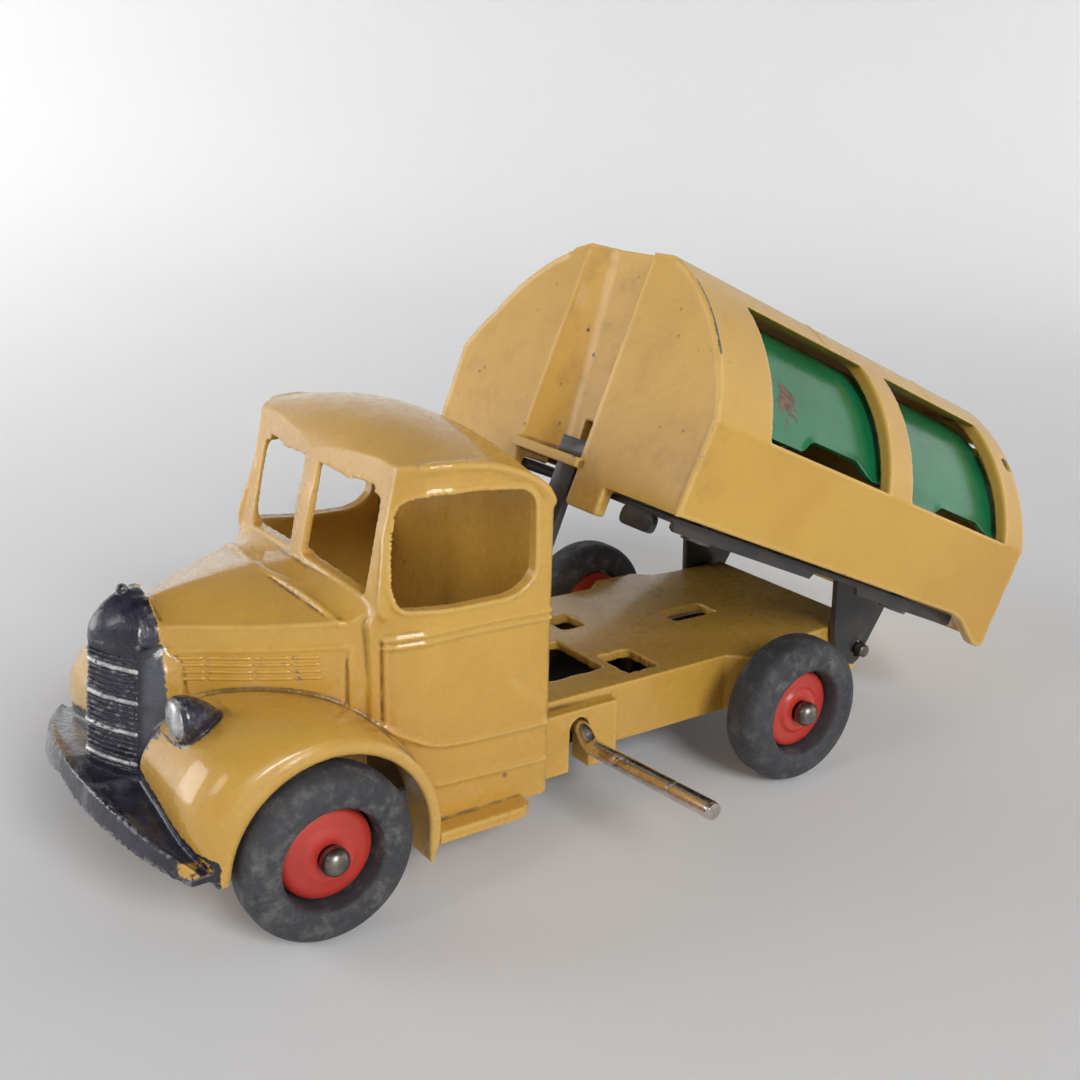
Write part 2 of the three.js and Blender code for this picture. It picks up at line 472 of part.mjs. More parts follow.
// A plate that stands on the crank, cranked to clear the deck when it is down, with a T-head above.
function liftingArm() {
  const { y, z, r } = CRANK;
  const c = Math.cos(TILT);
  const s = Math.sin(TILT);
  const place = (b, h) => [PIVOT.y + b * c + h * s, PIVOT.z - b * s + h * c];
  const corner = (b, h) => place(ARM.headY + b, ARM.headZ + h);
  const side = [[y - 1.2, z], [29.9, 15.6], [31.6, 20], corner(-0.5, -4), corner(-0.5, 0), corner(0.6, 0), corner(0.6, -4),
    [32.9, 19.6], [31.3, 16], [y + 1.2, z + 1]];
  const { inner, outer, plate } = ARM;
  const front = [[inner, 8], [outer, 8], [outer, 42], [inner, 42], [inner, 33.2], [-plate, 33.2], [-plate, 31.4], [inner, 18]];
  const strip = alongX(side, -plate - 1, outer + 1).intersect(alongY(front, 20, 50));
  const boss = rodX(2.1, inner, outer, y, z, 16);
  const head = alongX([corner(-0.6, -1), corner(0.8, -1), corner(0.8, 1), corner(-0.6, 1)], inner - 0.6, outer + 0.6);
  return cut(join(strip, boss, head), rodX(r + GAP, inner - 1, outer + 1, y, z, 14));
}
add(truck, "lifting_arm", liftingArm(), PAINT.black, 0.4, 0.5);

export default truck;
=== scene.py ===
"""Toy refuse tipper: the detailed pieces, their materials, the light and the camera."""
import json
import math

import bmesh
import bpy
import numpy as np
from mathutils import Matrix, Vector


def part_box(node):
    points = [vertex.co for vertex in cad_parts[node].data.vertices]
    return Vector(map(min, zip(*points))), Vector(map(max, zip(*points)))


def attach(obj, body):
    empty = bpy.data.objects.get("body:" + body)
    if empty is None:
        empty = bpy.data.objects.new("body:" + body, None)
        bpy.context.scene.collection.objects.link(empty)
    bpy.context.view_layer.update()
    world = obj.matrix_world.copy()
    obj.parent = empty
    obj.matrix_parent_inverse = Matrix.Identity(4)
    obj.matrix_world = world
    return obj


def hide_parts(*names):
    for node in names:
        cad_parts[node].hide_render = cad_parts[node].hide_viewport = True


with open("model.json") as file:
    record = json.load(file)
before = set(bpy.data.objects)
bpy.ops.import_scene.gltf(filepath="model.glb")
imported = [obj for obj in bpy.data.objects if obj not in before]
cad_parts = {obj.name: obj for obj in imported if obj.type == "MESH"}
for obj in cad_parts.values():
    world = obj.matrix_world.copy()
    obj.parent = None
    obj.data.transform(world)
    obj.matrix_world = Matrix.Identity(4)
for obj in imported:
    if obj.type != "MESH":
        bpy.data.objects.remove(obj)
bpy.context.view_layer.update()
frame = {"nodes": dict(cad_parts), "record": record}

MM = 0.001
VOXEL = 0.17  # mm
CAB_FACES, BODY_FACES, DOOR_FACES = ((185000, 170000, 40000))
RELAX_IN, RELAX_OUT = 0.55, 0.40  # each smoothing round's step in and back out
MOST_BEND = 3

# ---------- where things are, from the frame ----------
JOINT = {j["name"]: j for j in frame["record"]["behaviour"]["joints"]}
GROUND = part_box("front_left_tyre")[0].z / MM
FRONT_AXLE = Vector(JOINT["front_left_wheel_spin"]["pos_m"]) / MM
REAR_AXLE = Vector(JOINT["rear_left_wheel_spin"]["pos_m"]) / MM
# Everything below is drawn in millimetres, with y = 0 at the front axle and z = 0 on the ground.
DATUM = np.array([0.0, FRONT_AXLE.y, GROUND])
AXLE_Z = FRONT_AXLE.z - GROUND
BASE_Y = REAR_AXLE.y - FRONT_AXLE.y
TRACK = FRONT_AXLE.x
PIVOT = np.array(JOINT["body_tip"]["pos_m"]) / MM - DATUM
SLIDE = np.array(JOINT["rear_right_shutter_slide"]["axis"])
TILT = math.atan2(-SLIDE[2], SLIDE[1])
CRANK = np.array(JOINT["crank_turn"]["pos_m"]) / MM - DATUM
C, S = math.cos(TILT), math.sin(TILT)


def body_to_design(p):
    """From the tipping body's own axes, whose origin is its pivot, to the drawing's."""
    p = np.asarray(p, float)
    y, z = p[..., 1], p[..., 2]
    return np.stack([p[..., 0], PIVOT[1] + y * C + z * S, PIVOT[2] - y * S + z * C], -1)


def in_body(co):
    """The drawing's points in the tipping body's own axes, as x, y and z."""
    x, y, z = (co - PIVOT).T
    return x, y * C - z * S, y * S + z * C


# ---------- curves and meshes ----------
def curve(points):
    """A smooth function through (t, value) points that never overshoots."""
    t, v = np.array(points, float).T
    h, d = np.diff(t), np.diff(v) / np.diff(t)
    m = np.zeros_like(v)
    m[0], m[-1] = d[0], d[-1]
    for i in range(1, len(v) - 1):
        if d[i - 1] * d[i] > 0:
            w1, w2 = 2 * h[i] + h[i - 1], h[i] + 2 * h[i - 1]
            m[i] = (w1 + w2) / (w1 / d[i - 1] + w2 / d[i])

    def at(x):
        x = np.clip(x, t[0], t[-1])
        k = np.clip(np.searchsorted(t, x) - 1, 0, len(h) - 1)
        s = (x - t[k]) / h[k]
        a, b = (1 + 2 * s) * (1 - s) ** 2, s * (1 - s) ** 2
        c, e = s * s * (3 - 2 * s), s * s * (s - 1)
        return a * v[k] + b * h[k] * m[k] + c * v[k + 1] + e * h[k] * m[k + 1]

    return at


def mesh_object(name, points, faces):
    """A new object from points in drawing millimetres."""
    mesh = bpy.data.meshes.new(name)
    row = (np.asarray(points, float) + DATUM) * MM
    mesh.from_pydata(row.tolist(), [], [list(map(int, f)) for f in faces])
    mesh.validate()
    mesh.update()
    ob = bpy.data.objects.new(name, mesh)
    bpy.context.scene.collection.objects.link(ob)
    return ob


def outward(ob):
    bm = bmesh.new()
    bm.from_mesh(ob.data)
    bmesh.ops.remove_doubles(bm, verts=bm.verts, dist=1e-8)
    bmesh.ops.recalc_face_normals(bm, faces=bm.faces)
    bm.to_mesh(ob.data)
    bm.free()
    return ob


def warped(nu, nv, nw, place):
    """A closed box whose surface points are moved by place(u, v, w), each from 0 to 1."""
    keys, points, faces = {}, [], []

    def index(i, j, k):
        if (i, j, k) not in keys:
            keys[i, j, k] = len(points)
            points.append((i / nu, j / nv, k / nw))
        return keys[i, j, k]

    def sheet(n, m, at):
        for a in range(n):
            for b in range(m):
                faces.append([index(*at(a, b)), index(*at(a + 1, b)), index(*at(a + 1, b + 1)),
                        index(*at(a, b + 1))])

    for end in (0, nw):
        sheet(nu, nv, lambda a, b: (a, b, end))
    for end in (0, nv):
        sheet(nu, nw, lambda a, b: (a, end, b))
    for end in (0, nu):
        sheet(nv, nw, lambda a, b: (end, a, b))
    u, v, w = np.array(points).T
    x, y, z = np.broadcast_arrays(*place(u, v, w))
    return outward(mesh_object("shape", np.stack([x, y, z], -1), faces))


def prism(outline, lo, hi, axis, place=None):
    """A closed outline extruded along an axis. The outline's two numbers are the other two axes, in order."""
    n = len(outline)
    points = []
    for end in (lo, hi):
        for a, b in outline:
            points.append({"x": (end, a, b), "y": (a, end, b), "z": (a, b, end)}[axis])
    faces = [list(range(n)), list(range(2 * n - 1, n - 1, -1))]
    faces += [[i, (i + 1) % n, n + (i + 1) % n, n + i] for i in range(n)]
    points = np.array(points, float)
    return outward(mesh_object("shape", place(points) if place else points, faces))


def block(x0, x1, y0, y1, z0, z1, place=None):
    return prism([(y0, z0), (y1, z0), (y1, z1), (y0, z1)], x0, x1, "x", place)


def arc(cx, cy, r, a0, a1, n=24):
    a = np.radians(np.linspace(a0, a1, n + 1))
    return list(zip(cx + r * np.cos(a), cy + r * np.sin(a)))


def circle(cx, cy, r, n):
    return arc(cx, cy, r, 0, 360 - 360 / n, n - 1)


def turned(profile, centre, segments, axis="x"):
    """A profile of (along, radius) points turned about a line through centre."""
    rings, points, faces = [], [], []
    a = np.linspace(0, 2 * math.pi, segments, endpoint=False)
    for along, r in profile:
        if r < 1e-6:
            rings.append([len(points)])
            points.append((along, 0, 0))
        else:
            rings.append(list(range(len(points), len(points) + segments)))
            points += [(along, r * math.cos(t), r * math.sin(t)) for t in a]
    for p, q in zip(rings, rings[1:]):
        for i in range(segments):
            j = (i + 1) % segments
            if len(p) == 1 and len(q) == 1:
                continue
            if len(p) == 1:
                faces.append([p[0], q[i], q[j]])
            elif len(q) == 1:
                faces.append([p[i], q[0], p[j]])
            else:
                faces.append([p[i], q[i], q[j], p[j]])
    points = np.array(points, float)
    if axis == "y":
        points = points[:, [1, 0, 2]]
    if axis == "z":
        points = points[:, [1, 2, 0]]
    return outward(mesh_object("turned", points + np.array(centre, float), faces))


def tube(path, r, sides, ends=0.6):
    """A round-ended bar along points; r is a number or a function of 0..1 along it."""
    path = np.array(path, float)
    t = np.gradient(path, axis=0)
    t /= np.linalg.norm(t, axis=1)[:, None]
    up = np.array([0, 0, 1.0]) if abs(t[0][2]) < 0.9 else np.array([1.0, 0, 0])
    points, faces = [], []
    n = len(path)
    for i, (p, d) in enumerate(zip(path, t)):
        side = np.cross(d, up)
        side /= np.linalg.norm(side)
        up = np.cross(side, d)
        rr = r(i / (n - 1)) if callable(r) else r
        for k in range(sides):
            a = 2 * math.pi * k / sides
            points.append(p + rr * (math.cos(a) * side + math.sin(a) * up))
        if i:
            b = (i - 1) * sides
            faces += [[b + k, b + (k + 1) % sides, b + sides + (k + 1) % sides, b + sides + k]
                    for k in range(sides)]
    for end, i in ((-1, 0), (1, n - 1)):
        rr = r(i / (n - 1)) if callable(r) else r
        points.append(path[i] + end * t[i] * rr * ends)
        faces += [[i * sides + k, i * sides + (k + 1) % sides, len(points) - 1] for k in range(sides)]
    return outward(mesh_object("tube", points, faces))


def delete(ob):
    mesh = ob.data
    bpy.data.objects.remove(ob)
    if mesh and mesh.users == 0:
        bpy.data.meshes.remove(mesh)


def applied(ob):
    """Bakes the modifiers into the mesh."""
    dg = bpy.context.evaluated_depsgraph_get()
    made = bpy.data.meshes.new_from_object(ob.evaluated_get(dg))
    old = ob.data
    ob.modifiers.clear()
    ob.data = made
    bpy.data.meshes.remove(old)
    return ob


def combine(base, op, *tools):
    for tool in tools:
        m = base.modifiers.new("b", "BOOLEAN")
        m.operation, m.object, m.solver = op, tool, "MANIFOLD"
        applied(base)
        delete(tool)
    return base


def union(base, *tools):
    return combine(base, "UNION", *tools)


def cut(base, *tools):
    return combine(base, "DIFFERENCE", *tools)


def out_to(side, a, b):
    """From a to b out from the middle, on one side, lowest first."""
    return sorted((side * a, side * b))


def both(make):
    return [make(1), make(-1)]


def join(name, *obs):
    """Several meshes as one object, without merging them."""
    bm = bmesh.new()
    for ob in obs:
        bm.from_mesh(ob.data)
    mesh = bpy.data.meshes.new(name)
    bm.to_mesh(mesh)
    bm.free()
    for ob in obs:
        delete(ob)
    ob = bpy.data.objects.new(name, mesh)
    bpy.context.scene.collection.objects.link(ob)
    return ob


def coords(ob):
    """The vertices in drawing millimetres."""
    co = np.empty(len(ob.data.vertices) * 3)
    ob.data.vertices.foreach_get("co", co)
    return co.reshape(-1, 3) / MM - DATUM


def set_coords(ob, co):
    ob.data.vertices.foreach_set("co", ((co + DATUM) * MM).ravel())
    ob.data.update()


def edges_of(ob):
    e = np.empty(len(ob.data.edges) * 2, int)
    ob.data.edges.foreach_get("vertices", e)
    return e.reshape(-1, 2)


def spread(values, e, n):
    """The mean over each vertex's neighbours."""
    count = np.bincount(e.ravel(), minlength=n).astype(float)
    out = np.empty_like(values)
    for k in range(values.shape[1]):
        s = np.bincount(e[:, 0], values[e[:, 1], k], n) + np.bincount(e[:, 1], values[e[:, 0], k], n)
        out[:, k] = s / np.maximum(count, 1)
    return out


def relax(ob, times):
    """Smooths without shrinking much: each round goes in, then most of the way back out."""
    co, e = coords(ob), edges_of(ob)
    n = len(co)
    for _ in range(times):
        co = co + RELAX_IN * (spread(co, e, n) - co)
        co = co - RELAX_OUT * (spread(co, e, n) - co)
    set_coords(ob, co)
    return ob


def normals(ob):
    n = np.empty(len(ob.data.vertices) * 3)
    ob.data.vertex_normals.foreach_get("vector", n)
    return n.reshape(-1, 3)


def cast(ob, voxel, times):
    """Turns sharp solids into one softened casting."""
    m = ob.modifiers.new("r", "REMESH")
    m.mode, m.voxel_size, m.use_smooth_shade = "VOXEL", voxel * MM, True
    applied(ob)
    relax(ob, times)
    return ob


def thin(ob, most):
    n = sum(len(p.vertices) - 2 for p in ob.data.polygons)
    if n > most:
        m = ob.modifiers.new("d", "DECIMATE")
        m.ratio = most / n
        applied(ob)
    return ob


def from_polyline(co, path):
    """Each point's distance to a polyline, and how far along it is."""
    path = np.array(path, float)
    best, where, run = np.full(len(co), 1e9), np.zeros(len(co)), 0.0
    for a, b in zip(path, path[1:]):
        d = b - a
        length = np.linalg.norm(d)
        t = np.clip(((co - a) @ d) / length**2, 0, 1)
        dist = np.linalg.norm(co - (a + t[:, None] * d), axis=1)
        near = dist < best
        best = np.where(near, dist, best)
        where = np.where(near, run + t * length, where)
        run += length
    return best, where


def emboss(ob, path, height, width, where=None, lumps=0.0):
    """Raises (or sinks, below zero) a soft line along a path, in millimetres, lumpy if asked."""
    co = coords(ob)
    lo, hi = np.array(path).min(0) - 3 * width, np.array(path).max(0) + 3 * width
    near = np.where(((co > lo) & (co < hi)).all(1))[0]
    if not len(near):
        return
    d, run = from_polyline(co[near], path)
    nrm = normals(ob)[near]
    wave = np.sin(1.9 * run) + np.sin(3.1 * run + 1) + np.sin(4.3 * run + 2)
    k = height * (1 + lumps * wave / 2) * np.exp(-((d / width) ** 2))
    if where is not None:
        k = k * where(nrm)
    co[near] += nrm * k[:, None]
    set_coords(ob, co)


def smooth_shade(ob, angle=None):
    for p in ob.data.polygons:
        p.use_smooth = True
    if angle is not None:
        ob.data.set_sharp_from_angle(angle=math.radians(angle))
    return ob


def attribute(ob, name, values):
    a = ob.data.attributes.new(name, "FLOAT", "POINT")
    a.data.foreach_set("value", np.asarray(values, dtype=np.float32))


def bends(ob, times=5):
    """Writes how sharply the surface bends: above zero on outer edges, below in corners."""
    co, e = coords(ob), edges_of(ob)
    n = len(co)
    lap = co - spread(co, e, n)
    length = np.linalg.norm(co[e[:, 0]] - co[e[:, 1]], axis=1)
    mean = (np.bincount(e[:, 0], length, n) + np.bincount(e[:, 1], length, n)) / np.maximum(
        np.bincount(e.ravel(), minlength=n), 1)
    h = ((lap * normals(ob)).sum(1) / np.maximum(mean, 1e-3) ** 2)[:, None]
    h = np.clip(h, -MOST_BEND, MOST_BEND)
    for _ in range(times):
        h = 0.5 * h + 0.5 * spread(h, e, n)
    attribute(ob, "bend", h[:, 0])
    return ob


# ---------- cab and chassis casting ----------
HALF, REAR = 18.0, 27.3
ROOF_SIDE = curve([(8.8, 38.9), (9.4, 40.6), (10, 41.8), (11.5, 42.6), (15, 42.9), (18.8, 42.5), (22.9, 41.2),
        (25.8, 39.4), (27.3, 37.2)])
ROOF_MID = curve([(8.8, 40), (9.3, 41), (10.1, 42.5), (11.5, 43.7), (13.7, 44.7), (16.6, 45.1), (19.4, 44.9),
        (21.5, 44.4),
                  (23.2, 43.7), (24.7, 42.8), (26.3, 41.2), (27.3, 39.3)])
CREASE_X = curve([(-9.2, 4.1), (-8, 4.7), (-1.7, 9.2), (5, 13.4), (9.5, 15.9)])
CREASE_Z = curve([(-9.2, 27), (-1.7, 27.3), (5, 27.8), (9.5, 28.2)])
CROWN_Z = curve([(-9.2, 28.3), (-4, 29.4), (2.6, 30.1), (9.5, 30.1)])
LOWER_Z = curve([(-9.2, 24.6), (9.5, 25.7)])
ARCH_Y, ARCH_Z, ARCH_R, WELL_X = 0.9, 7.9, 10.2, 12.6
CREST = curve([(-60, 11.3), (-35, 11.3), (40, 11.5), (55, 11.9), (74, 12.6), (90, 13.1), (108, 13.8),
        (122, 14.4), (135, 14.9),
               (146, 14.9), (159, 14), (170, 12.8), (180, 11.6), (192, 11.3), (240, 11.3)])
RIDGE = curve([(10.5, -15.3), (11.7, -15.2), (14.35, -15.0), (17.4, -14.8), (20.5, -14.55), (23.6, -14.2),
        (25.2, -14.25),
               (26.3, -14.15), (27.4, -13.7), (28.6, -12.7), (29.4, -11.6), (29.8, -10.6)])
BAR_X, BAR_Y = curve([(10.5, 5.2), (14, 5.1), (20, 4.9), (24.6, 4.6)]), curve([(10.5, -12), (14, -11.9),
        (20, -11.4), (24.6, -11)])
BAND_X, BAND_Y = curve([(10.3, 6), (14.3, 6.1), (17.1, 6.7), (22.8, 6), (25.4, 4.6),
        (27, 4.2)]), curve([(10.3, -10.7), (12.5, -9.9), (14.3, -9), (22.8, -9), (25.4, -8.6), (28, -8.8)])


def screen_y(x, z):
    """The windscreen's slope."""
    return 6.9 + 0.09 * np.minimum(abs(x), 14) + 0.2 * (z - 30)


def cab_half(y, z):
    """Half the cab's width."""
    low = np.interp(y, [4, 7.5, 9.5, 12, 14], [14.2, 16.2, 17.2, 17.85, HALF])
    high = np.interp(y, [7.6, 8.3, 9.1, 10.2, 12], [15.4, 16.9, 17.6, 17.95, HALF])
    top = np.interp(y, [7.6, 8.3, 9.1, 10.2, 12, 15], [12.8, 14.0, 15.0, 16.0, 17.3, HALF])
    high = high + (top - high) * np.clip((z - 31) / 5.5, 0, 1)
    t = np.clip((z - 27) / 3, 0, 1)
    back = 0.9 * np.clip((y - (REAR - 1)), 0, 1) ** 2
    return low + (high - low) * t - back


def cab_form(inset=0.0, bottom=5.7, res=1.0):
    """The cab's outer form, or its inside, drawn in by inset."""
    n = lambda k: max(4, int(k * res))

    def place(u, v, w):
        lane = np.sin((u - 0.5) * math.pi * 0.94) / math.sin(0.47 * math.pi)
        low = np.interp(np.minimum(w, 0.8), [0, 0.3, 0.42, 0.8], [bottom, 27, 30, 36.5 - 1.3 * inset])
        scuttle = 7.3 + (screen_y(lane * 14, 29.4) - 7.3) * np.clip((low - 27.5) / 1.9, 0, 1)
        front = np.where(low < 29.4, scuttle, screen_y(lane * 17, low))
        front = front + inset
        back = REAR - inset
        y = front + (back - front) * v
        x = lane * (cab_half(y, low) - inset)
        s = np.clip((w - 0.8) / 0.2, 0, 1)
        y = y + np.where(v < 0.5, (1 - 2 * v) * s * 1.2, 0)
        side, mid = ROOF_SIDE(y), ROOF_MID(y)
        top = side + (mid - side) * (1 - np.abs(x / HALF) ** 2.1) - inset
        z = np.where(w > 0.8, low + (top - low) * s, low)
        return x, y, z

    return warped(n(56), n(60), n(50), place)


def bonnet_form():
    def place(u, v, w):
        y = -9.2 + 18.7 * v
        crease, s = CREASE_X(y), (u - 0.5) * 2
        z_low = LOWER_Z(y)
        stations = np.stack([np.full_like(y, 9.0), z_low - 3.2, z_low, CREASE_Z(y)])
        outs = np.stack([crease + 0.95, crease + 0.95, crease + 0.45, crease])
        t = np.clip(w, 0, 0.75) / 0.25
        k = np.minimum(t.astype(int), 2)
        f = t - k
        z = stations[k, np.arange(len(y))] * (1 - f) + stations[k + 1, np.arange(len(y))] * f
        half = outs[k, np.arange(len(y))] * (1 - f) + outs[k + 1, np.arange(len(y))] * f
        top = np.clip((w - 0.75) / 0.25, 0, 1)
        dome = CREASE_Z(y) + (CROWN_Z(y) - CREASE_Z(y)) * (1 - np.abs(s) ** 1.35)
        return s * half, y, z + (dome - z) * top

    return warped(48, 40, 32, place)


def scuttle_form():
    """The concave strip that rises from the bonnet's rear ridge to the windscreen."""
    def place(u, v, w):
        s = (u - 0.5) * 2
        x = s * (13.7 + 2.2 * v)
        start = 2.8 + 2.6 * np.abs(s) ** 1.4
        y = start + (9.5 - start) * v
        ridge = 30.05 - 2.3 * np.abs(s) ** 2.2
        sill = 30.4 - 0.5 * np.abs(s) ** 2
        dip = -0.55 * np.sin(math.pi * np.clip(v * 1.2, 0, 1))
        top = ridge + (sill - ridge) * np.clip(v * 1.35, 0, 1) ** 1.4 + dip * (1 - 0.3 * np.abs(s))
        return x, y, 22 + (top - 22) * w

    return warped(40, 16, 6, place)


def wing_form(side):
    stations = np.array([0, 0.3, 0.45, 0.55, 0.65, 0.74, 0.82, 0.89, 0.945, 0.98, 1.0])
    ring, sides = [], 128
    for st in stations:
        x = 6.2 if st == 0 else (12.0 + 2 * (st - 0.3) / 0.15 if st <= 0.45 else 14 + 7 * (st - 0.45) / 0.55)
        for k in range(sides):
            deg = -90 + 360 * k / sides
            under = deg < -34 or deg > 196
            s = max(0.0, (x - 14) / 7)
            crest = float(CREST(deg))
            r = 5.0 if under else 11.25 + (crest - 11.25) * max(0.0, 1 - s**2.3) ** 0.5
            a = math.radians(deg)
            ring.append((side * x, ARCH_Y + r * math.cos(a), ARCH_Z + r * math.sin(a)))
    faces = [[k for k in range(sides)], [(len(stations) - 1) * sides + k for k in range(sides)]]
    for i in range(len(stations) - 1):
        for k in range(sides):
            a, b = i * sides + k, i * sides + (k + 1) % sides
            faces.append([a, b, b + sides, a + sides])
    raw = outward(mesh_object("wing", ring, faces))
    keep = union(block(-30, 30, -20, 20, 8.2, 40), block(11.6 * side, 30 * side, ARCH_Y + 1, 20, 3.9, 9))
    return combine(raw, "INTERSECT", keep)


def grille_form():
    def place(u, v, w):
        s = (u - 0.5) * 2
        z = 10.6 + 15.4 * w
        ridge, bx, by, ox, oy = RIDGE(z), BAR_X(z), BAR_Y(z), BAND_X(z), BAND_Y(z)
        a = np.abs(s)
        t = np.clip(a / 0.7, 0, 1)
        f = np.clip((a - 0.7) / 0.3, 0, 1)
        x = np.where(a < 0.7, bx * t, bx + (ox + 0.15 - bx) * f)
        y = np.where(a < 0.7, ridge + (by - ridge) * t - 0.35 * np.sin(math.pi * t), by + (oy - by) * f)
        return np.sign(s) * x, y + (-7.5 - y) * v, z

    return warped(40, 4, 30, place)


def crest_form():
    """The rounded cap over the grille, down to the bonnet's front."""
    def place(u, v, w):
        s = (u - 0.5) * 2
        z = 25.4 + 4.4 * w
        half = 4.75 * (1 - 0.55 * w**1.6)
        front = RIDGE(z)
        y = front + (3.4 - 0.5 * w) * np.abs(s) ** 1.6
        back = -8.3 - 0.6 * w
        dome = np.where(w > 0.97, -0.9 * np.abs(s) ** 2, 0)
        return s * half, y + (back - y) * v, z + dome

    return warped(24, 10, 14, place)


def bumper_form():
    def place(u, v, w):
        x = (u * 2 - 1) * 20.4
        ax = np.abs(x)
        front = -18 + 0.013 * x * x
        rear = np.interp(ax, [0, 5, 8, 13.5, 20.4], [-12, -11.4, -10.4, -9.9, -10.4])
        top = np.interp(ax, [0, 5, 12, 16, 20.4], [13.8, 13.3, 12.0, 10.9, 9.9])
        low = np.interp(ax, [0, 4.5, 11, 15, 18, 20.4], [12.4, 11.3, 10.3, 9.5, 9.1, 8.8])
        y = front + 0.5 * w + (rear - front - 0.5 * w) * v
        lip = 0.5 * np.exp(-((v / 0.12) ** 2))
        return x, y, low + (top - low) * w + lip * w - 0.35 * v * w

    return warped(72, 14, 6, place)


def lamp_form(side):
    """A headlamp's shell: round at the lens, drawn out to a point on the wing."""
    profile = [(-0.1, 0), (-0.1, 1.75), (0, 2.1), (0.2, 2.28), (0.6, 2.3), (1.3, 2.2), (2.1, 1.9), (2.9, 1.4),
            (3.6, 0.8), (4.1, 0.3), (4.25, 0)]
    ob = turned(profile, (0, 0, 0), 48, "y")
    p = coords(ob)
    p[:, 0] = side * (11.0 + p[:, 0] * side + 0.12 * p[:, 1])
    p[:, 2] = 20.45 + p[:, 2] - 0.05 * p[:, 1]
    p[:, 1] -= 9.9
    set_coords(ob, p)
    return outward(ob)


def wheel_well(side):
    outline = [(ARCH_Y - ARCH_R, 0)] + arc(ARCH_Y, ARCH_Z, ARCH_R, 180, 0, 64) + [(ARCH_Y + ARCH_R, 0)]
    return prism(outline, *out_to(side, WELL_X, 25), "x")


def rounded(points, r, n=5):
    """An outline with its corners rounded."""
    p = [np.array(q, float) for q in points]
    out = []
    for i, b in enumerate(p):
        a, c = p[i - 1], p[(i + 1) % len(p)]
        da, dc = a - b, c - b
        la, lc = np.linalg.norm(da), np.linalg.norm(dc)
        t = min(r, la * 0.45, lc * 0.45)
        s, e = b + da / la * t, b + dc / lc * t
        for k in range(n + 1):
            f = k / n
            out.append(tuple((1 - f) ** 2 * s + 2 * f * (1 - f) * b + f * f * e))
    return out


SIDE_PANE = rounded([(9.6, 29.4), (8.9, 31.2), (9.7, 35.6), (10.6, 39.3), (13, 40.15), (18, 40.1),
        (23.4, 39.5), (24.6, 38.3),
                     (24.75, 33), (24.7, 30.2), (22.2, 28.7), (15, 28.75)], 1.6)
SIDE_RIM = SIDE_PANE + SIDE_PANE[:1]


def side_pane():
    return prism(SIDE_PANE, -HALF - 3, HALF + 3, "x")


def front_pane(side):
    outline = rounded([(side * 1.45, 30.75), (side * 13.35, 29.85), (side * 13.25, 39.3),
            (side * 1.65, 40.2)], 0.5, 3)
    return prism(outline, 3.5, 14.5, "y")


def thinned_post():
    """Takes the back off the windscreen's centre post."""
    side = [(screen_y(1, z) + d, z) for z, d in ((31, 0.85), (40.1, 0.85), (40.1, 4), (31, 4))]
    return prism(side, -12, 12, "x")


def slot(r, y, z, x0, x1):
    """A round-topped slot, open below, that an axle is dropped into."""
    return prism([(y - r, 0)] + arc(y, z, r, 180, 0, 24) + [(y + r, 0)], x0, x1, "x")


def chassis_form():
    """The flat deck behind the cab, hollow below, with the crank's two cheeks."""
    h = 13.5
    plan = [(h, REAR - 1.2), (h, 55.6), (15.6, 58.2), (15.6, 64), (h, 66.6), (h - 0.3, 78.7)]
    plan += [(-x, y) for x, y in reversed(plan)]
    frame_ob = prism(plan, 6.5, 13.55, "z")
    hollow = block(-12.2, 12.2, REAR - 3, 76.1, 0, 12.35)
    cut(frame_ob, hollow)
    return union(frame_ob, *both(lambda s: block(*out_to(s, 12.0, 15.2), REAR - 1.2, 38.3, 5.4, 12.7)))


def running_board(s):
    pts = [(s * 16.8, 12.6), (s * 20.3, 12.6), (s * 20.3, 22.4), (s * 19.5, 23.7), (s * 16.8, 23.7)]
    return prism(pts, 5.1, 6.4, "z")


def ragged(x0, x1, y0, y1, seed, amount=0.28):
    """A deck cut-out with an untidy edge, as the casting's flash leaves it."""
    rng = np.random.default_rng(seed)
    cx, cy = (x0 + x1) / 2, (y0 + y1) / 2
    n, out = 40, []
    for k in range(n):
        a = 2 * math.pi * k / n
        c, s = math.cos(a), math.sin(a)
        m = max(abs(c) / ((x1 - x0) / 2), abs(s) / ((y1 - y0) / 2))
        r = 1 / m * (1 - amount * rng.random() * 0.35)
        out.append((cx + r * c, cy + r * s))
    return prism(out, 11, 15, "z")


